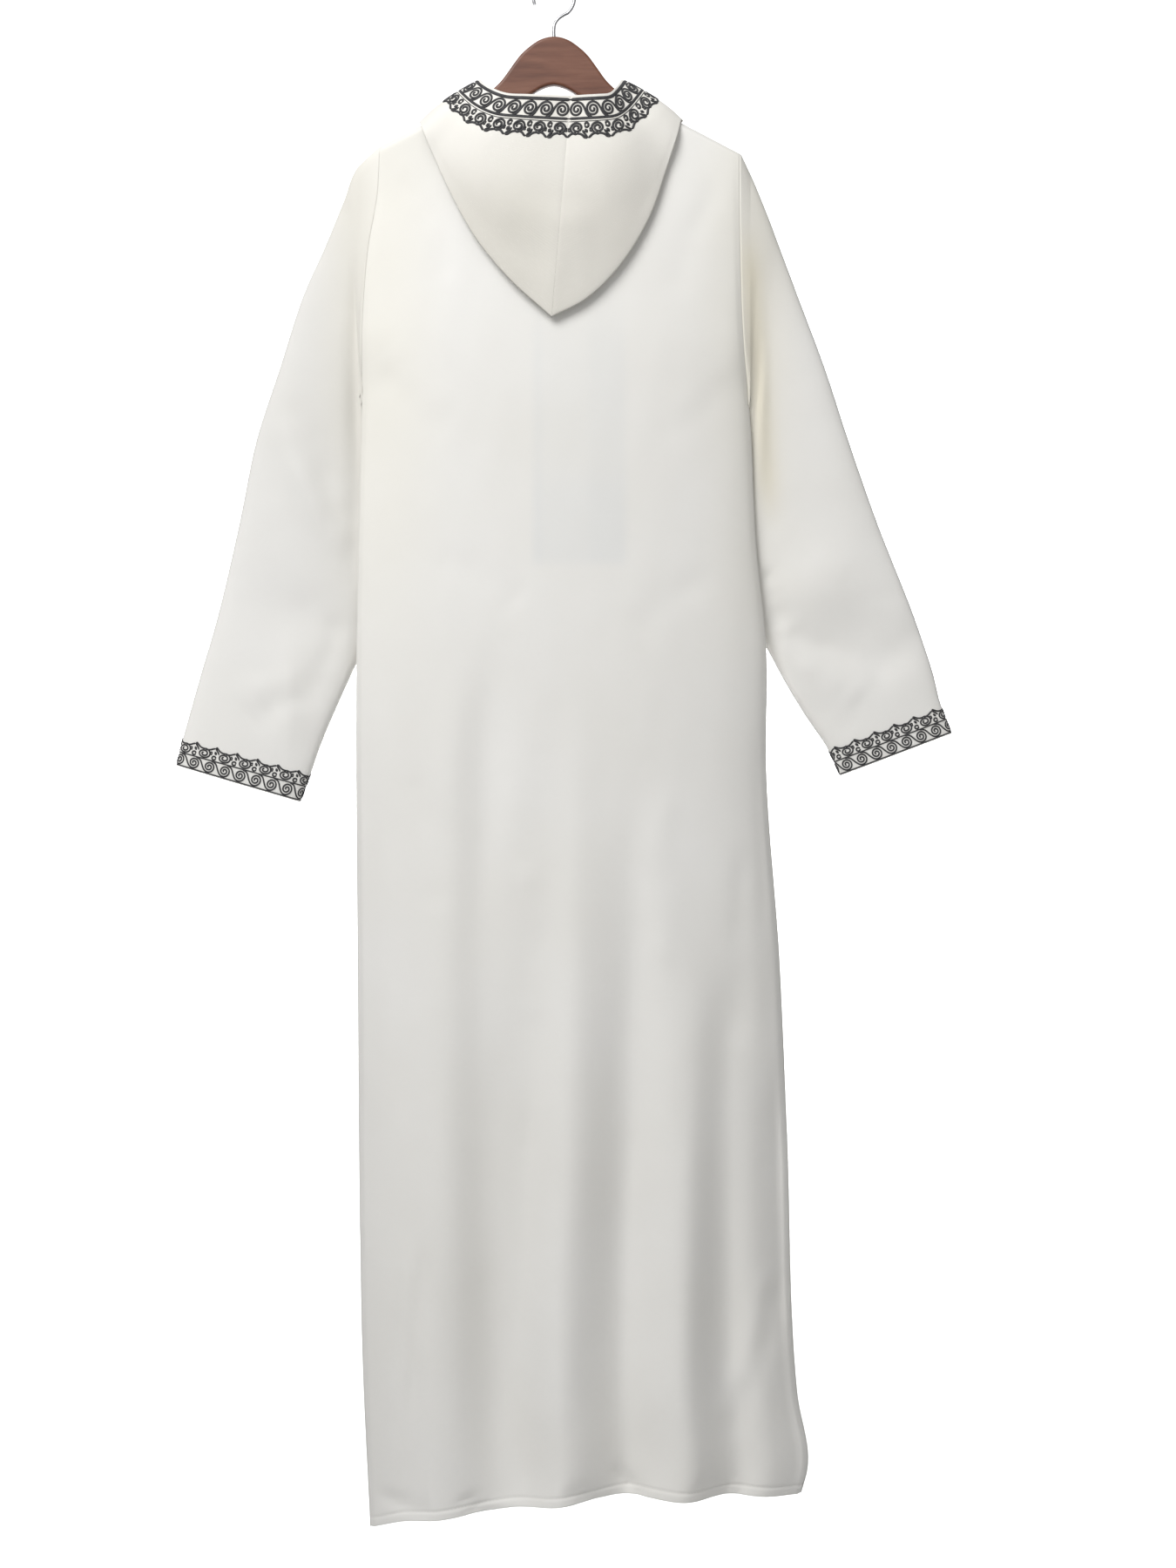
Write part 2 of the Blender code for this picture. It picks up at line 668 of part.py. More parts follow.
def build_hook(collection, made):
    route = hook_route()
    curve = bpy.data.curves.new("hook", "CURVE")
    curve.dimensions = "3D"
    curve.bevel_depth = WIRE / 2.0 * MM
    curve.bevel_resolution = 2
    curve.use_fill_caps = True
    spline = curve.splines.new("POLY")
    spline.points.add(len(route) - 1)
    for point, (x, z) in zip(spline.points, route):
        point.co = (x * MM, 0.0, z * MM, 1.0)
    piece = bpy.data.objects.new("hook", curve)
    curve.materials.append(made)
    collection.objects.link(piece)
    return piece


# Building


def build_mesh(name, points, closed, flip, parted=None):
    """A surface of triangles through a grid of points. All grids are split along the same diagonals."""
    rows, columns = points.shape[:2]
    mesh = bpy.data.meshes.new(name)
    shell = bmesh.new()
    grid = [[shell.verts.new(point * MM) for point in row] for row in points]
    last = columns if closed else columns - 1
    for r in range(rows - 1):
        for c in range(last):
            if c == parted:
                continue
            d = (c + 1) % columns
            corners = (grid[r][c], grid[r + 1][c], grid[r + 1][d], grid[r][d])
            first = (corners[0], corners[1], corners[2])
            second = (corners[0], corners[2], corners[3])
            for face in (first, second):
                shell.faces.new(face[::-1] if flip else face)
    bmesh.ops.remove_doubles(shell, verts=shell.verts, dist=SAME_PLACE * MM)
    shell.to_mesh(mesh)
    shell.free()
    mesh.shade_smooth()
    return mesh


def material(name, colour, roughness, metallic=0.0):
    made = bpy.data.materials.new(name)
    made.use_nodes = True
    shader = made.node_tree.nodes["Principled BSDF"]
    shader.inputs["Base Color"].default_value = (*colour, 1.0)
    shader.inputs["Roughness"].default_value = roughness
    shader.inputs["Metallic"].default_value = metallic
    made.diffuse_color = (*colour, 1.0)
    return made


def wall(collection, name, points, made, thickness=CLOTH, side=1.0, closed=False, flip=False, parted=None):
    """A cloth piece: the surface through the points, with a wall on its outer side."""
    piece = bpy.data.objects.new(name, build_mesh(name, points, closed, flip, parted))
    piece.data.materials.append(made)
    collection.objects.link(piece)
    solid = piece.modifiers.new("Wall", "SOLIDIFY")
    solid.thickness = thickness * MM
    solid.offset = side
    return piece


def clear_scene():
    for item in list(bpy.data.objects):
        bpy.data.objects.remove(item, do_unlink=True)


def build_sleeves(collection, cloth, trim):
    places = sorted({row[0] for row in LEFT_SLEEVE[1:]} | set(MORE_SLEEVE_PLACES) | set(CUFF_TRIM_PLACES))
    for name, rows, folds in (
        ("left", LEFT_SLEEVE, LEFT_SLEEVE_FOLDS),
        ("right", RIGHT_SLEEVE, RIGHT_SLEEVE_FOLDS),
    ):
        flip = name == "right"
        points = sleeve_points(rows, folds, places, SLEEVE_HALF_RING)
        wall(collection, "sleeve_" + name, points, cloth, closed=True, flip=flip)
        outward = -1.0 if flip else 1.0
        band = [2 + places.index(place) for place in CUFF_TRIM_PLACES]
        lifted = moved_out(points, outward * (CLOTH + TRIM_GAP), closed=True)[band]
        wall(collection, "cuff_trim_" + name, lifted, trim, thickness=TRIM, closed=True, flip=flip)


def build_hood(collection, cloth, trim):
    stations = sorted([*range(HOOD_STATIONS + 1), SIDE_STATION - NEAR_SIDE, SIDE_STATION + NEAR_SIDE])
    for name, rows in (("left", HOOD_LEFT), ("right", HOOD_RIGHT)):
        flip = name == "left"
        points = hood_points(rows, stations)
        wall(collection, "hood_" + name, points, cloth, side=0.0, flip=flip)
        outward = 1.0 if flip else -1.0
        lifted = moved_out(points, outward * (CLOTH / 2.0 + TRIM_GAP))[-5:-1]
        wall(collection, "hood_trim_" + name, lifted, trim, thickness=TRIM, flip=not flip)


def main():
    clear_scene()
    garment = bpy.data.collections.new("hooded_abaya")
    bpy.context.scene.collection.children.link(garment)
    ivory = material("ivory_crepe", (0.78, 0.77, 0.74), 0.85)
    charcoal = material("charcoal_embroidery", (0.02, 0.02, 0.022), 0.6)
    wood = material("brown_wood", (0.2, 0.1, 0.065), 0.45)
    steel = material("hook_steel", (0.6, 0.6, 0.6), 0.3, 1.0)
    wall(garment, "back_panel", panel_points(False, BACK_ROWS), ivory)
    front, middle = with_slit(panel_points(True, FRONT_ROWS))
    wall(garment, "front_panel", front, ivory, flip=True, parted=middle)
    build_sleeves(garment, ivory, charcoal)
    build_hood(garment, ivory, charcoal)
    for name, side in (("left", -1.0), ("right", 1.0)):
        points = placket_points(side)
        wall(garment, "placket_trim_" + name, points, charcoal, thickness=TRIM, flip=side > 0)
    build_hanger(garment, wood)
    build_hook(garment, steel)


main()
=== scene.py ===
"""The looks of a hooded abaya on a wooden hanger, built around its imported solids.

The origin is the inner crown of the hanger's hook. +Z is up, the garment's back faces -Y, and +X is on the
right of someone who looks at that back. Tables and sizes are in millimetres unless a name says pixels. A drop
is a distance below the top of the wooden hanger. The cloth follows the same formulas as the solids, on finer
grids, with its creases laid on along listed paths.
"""

import math

import bmesh
import bpy
import numpy as np
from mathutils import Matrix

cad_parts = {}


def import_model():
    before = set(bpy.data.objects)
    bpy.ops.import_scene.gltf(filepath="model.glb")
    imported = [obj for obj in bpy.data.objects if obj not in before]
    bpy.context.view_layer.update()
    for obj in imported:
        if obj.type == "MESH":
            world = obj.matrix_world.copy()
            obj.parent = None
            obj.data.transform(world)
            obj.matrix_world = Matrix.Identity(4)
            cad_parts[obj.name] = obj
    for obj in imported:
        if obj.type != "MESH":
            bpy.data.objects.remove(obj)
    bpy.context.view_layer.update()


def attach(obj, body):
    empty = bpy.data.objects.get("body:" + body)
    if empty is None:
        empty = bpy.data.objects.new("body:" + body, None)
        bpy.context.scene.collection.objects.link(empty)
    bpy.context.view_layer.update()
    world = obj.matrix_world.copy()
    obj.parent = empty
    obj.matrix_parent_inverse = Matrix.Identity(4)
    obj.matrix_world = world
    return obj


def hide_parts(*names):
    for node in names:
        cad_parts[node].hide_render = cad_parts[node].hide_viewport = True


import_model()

# Scale between the photograph's pixels and the object
MM = 0.001
MM_PER_PIXEL = 0.92
PIXEL_OF_ZERO_X = 636.0
PIXEL_OF_ZERO_DROP = 43.0
HOOK_HEIGHT = 62.0

# Sizes of the whole, as in the solids
SEAM_GAP = 0.3
ARMHOLE_GAP = 0.1
SEAM_LIFT = 0.65
CLOTH = 1.6
SHELL = 0.9
NECK_HALF_WIDTH = 84.0
NECK_HALF_DEPTH = 12.0
NECK_POINT_DROP = 66.0
NECK_DROP_BACK = 22.0
NECK_DROP_FRONT = 80.0
NECK_SQUARENESS = 14
NECK_FRONT_SHAPE = 1.2
BODY_SQUARENESS = 2.4
BODY_FULLNESS = 0.6
NECK_EASE = 40.0
SHOULDER_LEFT_X = -183.0
SHOULDER_RIGHT_X = 195.0
SHOULDER_LEFT_DROP = 117.0
SHOULDER_RIGHT_DROP = 124.0
WRAP_DROP = 8.0
ARMHOLE_HEIGHT = 262.0
ARMHOLE_HALF_WIDTH = 8.2
ARMHOLE_CLOSING = 70.0
EDGE_STRIP = 1.6
HEM_ROWS_START = 0.988
HEM_ROWS = 12
HEM_TURN = 9.0
HEM_RAISE = 0.8
HEM_STEP = 1.5
HEM_GROOVE = 1.0
HEM_GROOVE_WIDTH = 1.3

# The body's usual width and length, and the stretch in which the skirt's folds grow
BODY_WIDTH = 430.0
BODY_LENGTH = 1450.0
WAIST_DROP = 700.0
SKIRT_LENGTH = 850.0

# Grids: rows close below the seam line in millimetres, where the even rows start and where the columns are even
CLOSE_ROWS = (0.0, 0.6, 1.2, 2.4, 4.0, 6.0, 8.0, 12.0, 16.0, 22.0, 30.0, 40.0, 50.0, 60.0)
EVEN_ROWS_START = 0.05
EVEN_COLUMNS_START = 0.2
PANEL_STEPS = 6
PANEL_ROWS = 300
SLEEVE_ROWS = 150
SLEEVE_HALF_RING = 40
HOOD_STEPS = 6
PLACKET_ROWS = 14
PLACKET_COLUMNS = 70
SEARCH_ROUNDS = 12

# Body edges, seen from the back: drop, x
LEFT_EDGE = (
    (117, -183), (170, -186), (221, -195), (290, -201), (400, -203),
    (609, -208), (1018, -207), (1250, -205), (1400, -202), (1572, -194),
)
RIGHT_EDGE = (
    (124, 195), (221, 196), (313, 199), (405, 207), (533, 213), (646, 224),
    (770, 224), (972, 238), (1156, 246), (1432, 257), (1515, 267), (1536, 261),
)

# Half depth of the hanging body in the middle of a panel: drop, depth
DEPTH = ((60, 10), (120, 12), (200, 21), (320, 32), (500, 38), (800, 46), (1150, 56), (1572, 64))

# Hem: part of the width from the left, drop of the back, drop of the front
HEM = (
    (0.00, 1572, 1572), (0.07, 1558, 1562), (0.18, 1549, 1553), (0.35, 1538, 1545), (0.43, 1531, 1541),
    (0.58, 1525, 1536), (0.74, 1527, 1532), (0.85, 1529, 1531), (1.00, 1536, 1536),
)

# Folds of the skirt part: part of the width from the left, height outward, drop where the fold begins
BACK_FOLDS = (
    (0.00, 0, 700), (0.13, 17, 760), (0.34, -14, 700), (0.43, 19, 640), (0.58, -17, 640),
    (0.73, 20, 820), (0.84, -14, 900), (0.92, 11, 1000), (1.00, 0, 1000),
)
FRONT_FOLDS = (
    (0.00, 0, 700), (0.10, 13, 900), (0.24, -13, 760), (0.38, 18, 700), (0.52, -15, 640),
    (0.66, 19, 700), (0.80, -14, 820), (0.91, 14, 900), (1.00, 0, 900),
)
FOLD_GROWTH = 760.0
FOLD_LEAN = 0.11

# Sleeves. Shape: along, shift forward, half depth. Sides: outer x, outer drop, inner x, inner drop
SLEEVE_SHAPE = (
    (0.0, 0, 8), (0.05, 5, 10), (0.12, 12, 13), (0.2, 18, 15), (0.3, 22, 17), (0.4, 24, 18), (0.5, 25, 19),
    (0.62, 24, 19), (0.74, 22, 18), (0.86, 20, 17), (0.94, 18, 16), (1.0, 17, 15),
)
LEFT_SLEEVE = (
    (-183, 117, -203, 379), (-206, 136, -203, 392), (-222, 172, -199, 420), (-242, 218, -194, 460),
    (-267, 273, -186, 508), (-291, 347, -182, 552), (-315, 420, -186, 596), (-334, 512, -206, 646),
    (-355, 604, -227, 693), (-376, 678, -249, 745), (-393, 740, -260, 777), (-400, 769, -271, 807),
)
RIGHT_SLEEVE = (
    (195, 124, 206, 386), (206, 143, 206, 400), (223, 181, 203, 428), (239, 221, 200, 466),
    (259, 273, 192, 510), (287, 347, 190, 552), (311, 420, 198, 594), (343, 512, 226, 641),
    (379, 604, 247, 680), (401, 670, 270, 718), (410, 706, 292, 751), (421, 735, 305, 779),
)
SLEEVE_CLEARANCE = 2.2
SLEEVE_ROUNDNESS = 0.26

# Sleeve folds: along and across where the fold's middle lies, its run along and across, half width, height
LEFT_SLEEVE_FOLDS = (
    (0.46, 0.30, 0.10, 0.55, 0.065, 5), (0.66, 0.55, 0.08, -0.70, 0.060, -4),
    (0.82, 0.70, 0.12, 0.30, 0.060, 3),
)
RIGHT_SLEEVE_FOLDS = (
    (0.62, 0.50, 0.12, -0.75, 0.060, 5), (0.74, 0.40, 0.10, -0.70, 0.060, -4),
    (0.30, 0.60, 0.15, 0.30, 0.060, 3),
)

# Hood. Shape: station from the centre back (0) round the side (6) to the centre front (12), the fold's distance
# outward, and the face edge's drop and y. Sides: the fold's x and drop, and the face edge's x
HOOD_SHAPE = (
    (0.0, 9, 73, -44), (1.5, 9, 72, -46), (3.0, 8, 69, -40), (4.5, 7, 56, -23), (6.0, 6, 45, 0),
    (7.5, 7, 55, 21), (9.0, 7, 82, 30), (10.5, 6, 112, 30), (12.0, 3, 133, 27),
)
HOOD_LEFT = (
    (-2, 302, 18), (-66, 240, -15), (-108, 169, -49), (-132, 114, -71), (-142, 90, -78), (-126, 112, -74),
    (-94, 146, -58), (-50, 166, -32), (-4, 150, -3),
)
HOOD_RIGHT = (
    (-2, 302, 18), (52, 268, 38), (100, 195, 58), (124, 122, 67), (136, 89, 72), (126, 112, 72),
    (98, 146, 60), (50, 166, 32), (4, 150, 3),
)
HOOD_STATIONS = 12
HOOD_SEAM = 0.03
ROLL_HEIGHT = 7.0
ROLL_WIDTH = 7.0
HOOD_CLEARANCE = 3.2
HOOD_LAYER_PARTS = (0.22, 0.48, 0.74, 0.93)
HOOD_PATH_POINTS = 41
POUCH_BULGE = 12.0
TRIM_EDGE = 2.3
HOOD_TRIM_WIDTH = 43.0
MOST_OF_HOOD = 0.8

# Cuffs and front slit
CUFF_BAND_START = 0.93
SLIT_GAP = 0.8
SLIT_LEAN = 0.035
SLIT_DROP = 560.0
PLACKET_WIDTH = 43.0
PLACKET_TOP = 6.0

# Hanger, drawn as half of its outline: x, drop along the top, then back along the underside
HANGER_THICKNESS = 12.0
TIP_FOOT = 4.0
HANGER_TOP = (
    (0, 0), (8, 1), (16, 4), (25, 10), (35, 19), (42, 28), (48, 36.5), (55, 46), (63, 54), (73, 61), (84, 69.5),
)
HANGER_UNDERSIDE = ((66, 94), (46, 74), (24, 61), (12, 54), (0, 51))
ARM_CLEARANCE = 3.4
TIP_INSET = 6.0
TIP_HEIGHT = 20.0
HANGER_ROUND = 3.0
WIRE = 3.4
CROWN_RADIUS = 20.0


def smooth_step(part):
    part = np.clip(part, 0.0, 1.0)
    return part * part * (3.0 - 2.0 * part)


def rises(value, start, width):
    """0 up to the start and 1 from a width beyond it, with a smooth change between."""
    return smooth_step((value - start) / width)


def falls(value, end, width):
    """1 as far as a width before the end, and 0 beyond the end."""
    return smooth_step((end - value) / width)


def bell(distance, width):
    return np.exp(-((distance / width) ** 2))


def lengths_along(points):
    """Distances from the first point of a line, or the mean distances from the first row of a grid."""
    steps = np.linalg.norm(np.diff(points, axis=0), axis=-1)
    return np.concatenate([[0.0], np.cumsum(steps.mean(axis=1) if steps.ndim > 1 else steps)])


def hermite(knots, values, slopes, at):
    """Values on a smooth curve through knots. Values and slopes may hold several columns."""
    at = np.clip(at, knots[0], knots[-1])
    index = np.clip(np.searchsorted(knots, at, side="right") - 1, 0, len(knots) - 2)
    step = knots[index + 1] - knots[index]
    part = (at - knots[index]) / step
    extra = (slice(None),) * np.ndim(at) + (None,) * (np.ndim(values) - 1)
    step = step[extra] if np.ndim(step) else step
    part = part[extra] if np.ndim(part) else part
    rise = part * part * (3.0 - 2.0 * part)
    start_slope = part * (1.0 - part) ** 2 * step * slopes[index]
    end_slope = part * part * (part - 1.0) * step * slopes[index + 1]
    return values[index] + (values[index + 1] - values[index]) * rise + start_slope + end_slope


def read(rows, at, column):
    """A column of a table at values of its first column, joined by a smooth curve."""
    knots = np.array([row[0] for row in rows], float)
    values = np.array([row[column] for row in rows], float)
    return hermite(knots, values, np.gradient(values, knots), at)


def joined(shape, side):
    """A table's rows for one side, with the columns that both sides share first."""
    return [shared + own for shared, own in zip(shape, side)]


def world(x, y, drop):
    """Millimetres across, forward and below the hanger's top, as points in millimetres."""
    return np.stack(np.broadcast_arrays(x, y, -HOOK_HEIGHT - np.asarray(drop, float)), axis=-1)


# Body panels


def column_places(front, steps):
    """Parts of the width at the shoulder line and, below it, evenly spread. Both start and end with a strip."""
    width = SHOULDER_RIGHT_X - SHOULDER_LEFT_X
    strip = EDGE_STRIP / width
    neck_left = (-NECK_HALF_WIDTH - SHOULDER_LEFT_X) / width
    neck_right = (NECK_HALF_WIDTH - SHOULDER_LEFT_X) / width
    left = np.linspace(strip, neck_left, 5 * steps + 1)
    right = np.linspace(neck_right, 1.0 - strip, 5 * steps + 1)
    angles = np.linspace(0.0, math.pi, HOOD_STATIONS * steps + 1)
    middle = (neck_left + neck_right) / 2.0
    neck = middle - (neck_right - neck_left) / 2.0 * np.cos(angles)
    top = np.concatenate([[0.0], left, neck[1:-1], right, [1.0]])
    even = np.concatenate([[0.0], np.linspace(strip, 1.0 - strip, len(top) - 2), [1.0]])
    inner = np.clip((even - strip) / (1.0 - 2.0 * strip), 0.0, 1.0)
    lean = SLIT_LEAN * np.sin(math.pi * inner) if front else 0.0
    return top, even + lean


def top_drop(x, front):
    """The seam line: shoulder, neckline, shoulder."""
    left = NECK_POINT_DROP + (-NECK_HALF_WIDTH - x) * (SHOULDER_LEFT_DROP - NECK_POINT_DROP) / (
        -NECK_HALF_WIDTH - SHOULDER_LEFT_X
    )
    right = NECK_POINT_DROP + (x - NECK_HALF_WIDTH) * (SHOULDER_RIGHT_DROP - NECK_POINT_DROP) / (
        SHOULDER_RIGHT_X - NECK_HALF_WIDTH
    )
    part = np.clip(1.0 - np.abs(x / NECK_HALF_WIDTH) ** 2, 0.0, 1.0)
    neck = NECK_POINT_DROP + (NECK_DROP_FRONT * part**NECK_FRONT_SHAPE if front else NECK_DROP_BACK * part)
    return np.where(x < -NECK_HALF_WIDTH, left, np.where(x > NECK_HALF_WIDTH, right, neck))


def top_depth(x):
    """How far the seam line stands from the middle plane."""
    part = np.clip(1.0 - np.abs(x / NECK_HALF_WIDTH) ** NECK_SQUARENESS, 0.0, 1.0)
    return SEAM_GAP / 2.0 + NECK_HALF_DEPTH * np.sqrt(part)


def over_arm(below):
    """0 on the seam line and 1 where the cloth has passed over the hanger's arm."""
    part = np.clip(below / WRAP_DROP, 0.0, 1.0)
    return np.sqrt(1.0 - (1.0 - part) ** 2)


def armhole_opening(drop, tip_drop):
    """Half the armhole's width at a drop, from the shoulder tip to the underarm."""
    to_underarm = tip_drop + ARMHOLE_HEIGHT - drop
    return ARMHOLE_HALF_WIDTH * smooth_step(to_underarm / ARMHOLE_CLOSING)


def fold_height(across, drop, front):
    """The skirt's folds, which begin at the waist, grow and lean to the left as they fall."""
    rows = FRONT_FOLDS if front else BACK_FOLDS
    fallen = np.clip((drop - WAIST_DROP) / SKIRT_LENGTH, 0.0, 1.0)
    place = across - FOLD_LEAN * (1.0 - fallen) * np.sin(math.pi * across)
    return read(rows, place, 1) * smooth_step((drop - read(rows, place, 2)) / FOLD_GROWTH)


def body_depth(across, drop, front):
    """Distance of a panel's inner face from the middle plane, below the seam line."""
    from_middle = np.abs(2.0 * across - 1.0)
    shape = np.clip(1.0 - from_middle**BODY_SQUARENESS, 0.0, 1.0) ** BODY_FULLNESS
    edge_left = armhole_opening(drop, SHOULDER_LEFT_DROP)
    edge_right = armhole_opening(drop, SHOULDER_RIGHT_DROP)
    edge = SEAM_GAP / 2.0 + edge_left + (edge_right - edge_left) * across
    return edge + (read(DEPTH, drop, 1) - edge) * shape + fold_height(across, drop, front) * shape


def panel_at(across, part, front):
    """A panel's inner face at parts of its width and length: x, distance from the middle plane and drop."""
    shoulder_x = SHOULDER_LEFT_X + (SHOULDER_RIGHT_X - SHOULDER_LEFT_X) * across
    start = top_drop(shoulder_x, front)
    drop = start + (read(HEM, across, 2 if front else 1) - start) * part
    left = read(LEFT_EDGE, SHOULDER_LEFT_DROP + (HEM[0][1] - SHOULDER_LEFT_DROP) * part, 1)
    right = read(RIGHT_EDGE, SHOULDER_RIGHT_DROP + (HEM[-1][1] - SHOULDER_RIGHT_DROP) * part, 1)
    strip = EDGE_STRIP / (SHOULDER_RIGHT_X - SHOULDER_LEFT_X)
    depth = body_depth(np.clip((across - strip) / (1.0 - 2.0 * strip), 0.0, 1.0), drop, front)
    seam = top_depth(shoulder_x)
    neck = np.clip((seam - SEAM_GAP) / NECK_HALF_DEPTH, 0.0, 1.0)
    below = drop - start
    passed = over_arm(below) * (1.0 - neck) + smooth_step(below / NECK_EASE) * neck
    return left + (right - left) * across, seam + (depth - seam) * passed, drop


def panel_points(front):
    """Points of a body panel's inner face, row by row from the seam line down."""
    even_rows = np.linspace(EVEN_ROWS_START, HEM_ROWS_START, PANEL_ROWS)[:-1]
    hem = np.linspace(HEM_ROWS_START, 1.0, HEM_ROWS)
    places = np.concatenate([np.array(CLOSE_ROWS) / BODY_LENGTH, even_rows, hem])
    top, even = column_places(front, PANEL_STEPS)
    mix = smooth_step(places / EVEN_COLUMNS_START)[:, None]
    across = top * (1.0 - mix) + even * mix
    x, depth, drop = panel_at(across, np.broadcast_to(places[:, None], across.shape), front)
    return world(x, depth if front else -depth, drop)


def body_face(x, drop, front):
    """How far a panel's outer face stands from the middle plane at a place across and a drop."""
    across = np.full(np.shape(x), 0.5)
    part = np.full(np.shape(x), 0.5)
    for _ in range(SEARCH_ROUNDS):
        near_x, _, near_drop = panel_at(across, part, front)
        across = np.clip(across + (x - near_x) / BODY_WIDTH, 0.0, 1.0)
        part = np.clip(part + (drop - near_drop) / BODY_LENGTH, 0.0, 1.0)
    return panel_at(across, part, front)[1] + CLOTH


def slit_x(drop):
    """The slit's place across at drops: the middle column of the front panel."""
    top, even = column_places(True, 1)
    middle = len(top) // 2
    start = NECK_POINT_DROP + NECK_DROP_FRONT
    part = (drop - start) / (float(read(HEM, 0.5, 2)) - start)
    mix = smooth_step(part / EVEN_COLUMNS_START)
    return panel_at(top[middle] * (1.0 - mix) + even[middle] * mix, part, True)[0]


def placket_grid(side):
    """The front panel's outer face beside the slit, as rows from the slit outward."""
    drops = np.linspace(NECK_POINT_DROP + NECK_DROP_FRONT + PLACKET_TOP, SLIT_DROP - 4.0, PLACKET_COLUMNS)
    aside = np.linspace(SLIT_GAP / 2.0 + 1.0, PLACKET_WIDTH, PLACKET_ROWS)[:, None]
    x = slit_x(drops)[None, :] + side * aside
    start = np.maximum(drops[None, :], top_drop(x, True) + PLACKET_TOP)
    y = body_face(x, start, True) - (CLOTH - SHELL) / 2.0
    return world(x, y, start)


# Sleeves


def front_face(x, drop):
    """The outer face of the front panel near its edges, as a distance forward, and where there is one."""
    inside = (x > read(LEFT_EDGE, drop, 1)) & (x < read(RIGHT_EDGE, drop, 1))
    return np.where(inside, body_face(x, drop, True), 0.0), inside


def sleeve_fold(folds, along, across):
    """Folds that cross the sleeve: soft ridges and troughs along short slanted lines."""
    total = np.zeros_like(across)
    for fold_along, fold_across, run_along, run_across, half_width, height in folds:
        length = math.hypot(run_along, run_across)
        away = along - fold_along
        aside = across - fold_across
        on_line = (away * run_along + aside * run_across) / length
        off_line = (away * run_across - aside * run_along) / length
        total = total + height * bell(off_line, half_width) * bell(on_line, 0.5 * length)
    return total


def ring_places(half):
    """Places round a sleeve, down its back layer from the outer edge and up its front one, and the layers."""
    down = (1.0 - np.cos(np.linspace(0.0, math.pi, half + 1))) / 2.0
    return np.concatenate([down, down[-2:0:-1]]), np.concatenate([-np.ones(half + 1), np.ones(half - 1)])


def sleeve_points(side, folds, along_places):
    """Points of a sleeve's inner face, ring by ring from the armhole to the cuff."""
    rows = joined(SLEEVE_SHAPE, side)
    left = side[0][0] < 0
    tip_drop = SHOULDER_LEFT_DROP if left else SHOULDER_RIGHT_DROP
    edge = LEFT_EDGE if left else RIGHT_EDGE
    outward = -1.0 if left else 1.0
    across, layer = ring_places(SLEEVE_HALF_RING)
    rings = []
    for along in along_places:
        outer_x, outer_drop, inner_x, inner_drop = (float(read(rows, along, c)) for c in (3, 4, 5, 6))
        x = outer_x + (inner_x - outer_x) * across
        drop = outer_drop + (inner_drop - outer_drop) * across
        lens = np.clip(1.0 - (1.0 - 2.0 * across) ** 2, 0.0, 1.0) ** SLEEVE_ROUNDNESS
        fold = sleeve_fold(folds, along, across) * lens
        half_depth = read(rows, along, 2) * lens
        y = read(rows, along, 1) * smooth_step(along / 0.05) + layer * half_depth
        y = y + layer * np.where(layer < 0, fold, 0.6 * fold)
        face, inside = front_face(x, drop)
        hidden = face + CLOTH + SLEEVE_CLEARANCE
        y = np.where(inside, np.maximum(y, hidden + np.where(layer > 0, 2.0 * half_depth, 0.0)), y)
        rings.append(world(x, y, drop))
    seam_drop = tip_drop + ARMHOLE_HEIGHT * across
    opening = armhole_opening(seam_drop, tip_drop) * over_arm(seam_drop - tip_drop)
    seam_x = read(edge, seam_drop, 1) + outward * ARMHOLE_GAP
    seam = world(seam_x, layer * opening, seam_drop)
    shoulder_slope = (tip_drop - NECK_POINT_DROP) / (abs(edge[0][1]) - NECK_HALF_WIDTH)
    strip = seam + np.array([outward * EDGE_STRIP, 0.0, -shoulder_slope * EDGE_STRIP])
    return np.array([seam, strip] + rings)


# Hood


def neck_outward(x, y):
    """The direction out of the neckline, level with the ground."""
    power = NECK_SQUARENESS
    slope_x = math.copysign(power * abs(x / NECK_HALF_WIDTH) ** (power - 1) / NECK_HALF_WIDTH, x)
    slope_y = 2.0 * y / NECK_HALF_DEPTH**2
    length = np.hypot(slope_x, slope_y)
    return slope_x / length, slope_y / length


def over_shoulder(x, y, drop):
    """A drop raised where needed, so that the hood passes clear over the shoulder's ridge."""
    half_width = ARMHOLE_HALF_WIDTH + CLOTH + HOOD_CLEARANCE
    part = np.clip(np.abs(y) / half_width, 0.0, 1.0)
    ridge = top_drop(x, y > 0) - CLOTH - HOOD_CLEARANCE + WRAP_DROP * (1.0 - np.sqrt(1.0 - part**2))
    return np.where(part < 1.0, np.minimum(drop, ridge), drop)


def bowed_path(start, middle, end, parts):
    """Points of a parabola from start to end, pulled toward the middle point."""
    parts = parts[:, None]
    return start * (1.0 - parts) ** 2 + middle * 2.0 * parts * (1.0 - parts) + end * parts**2


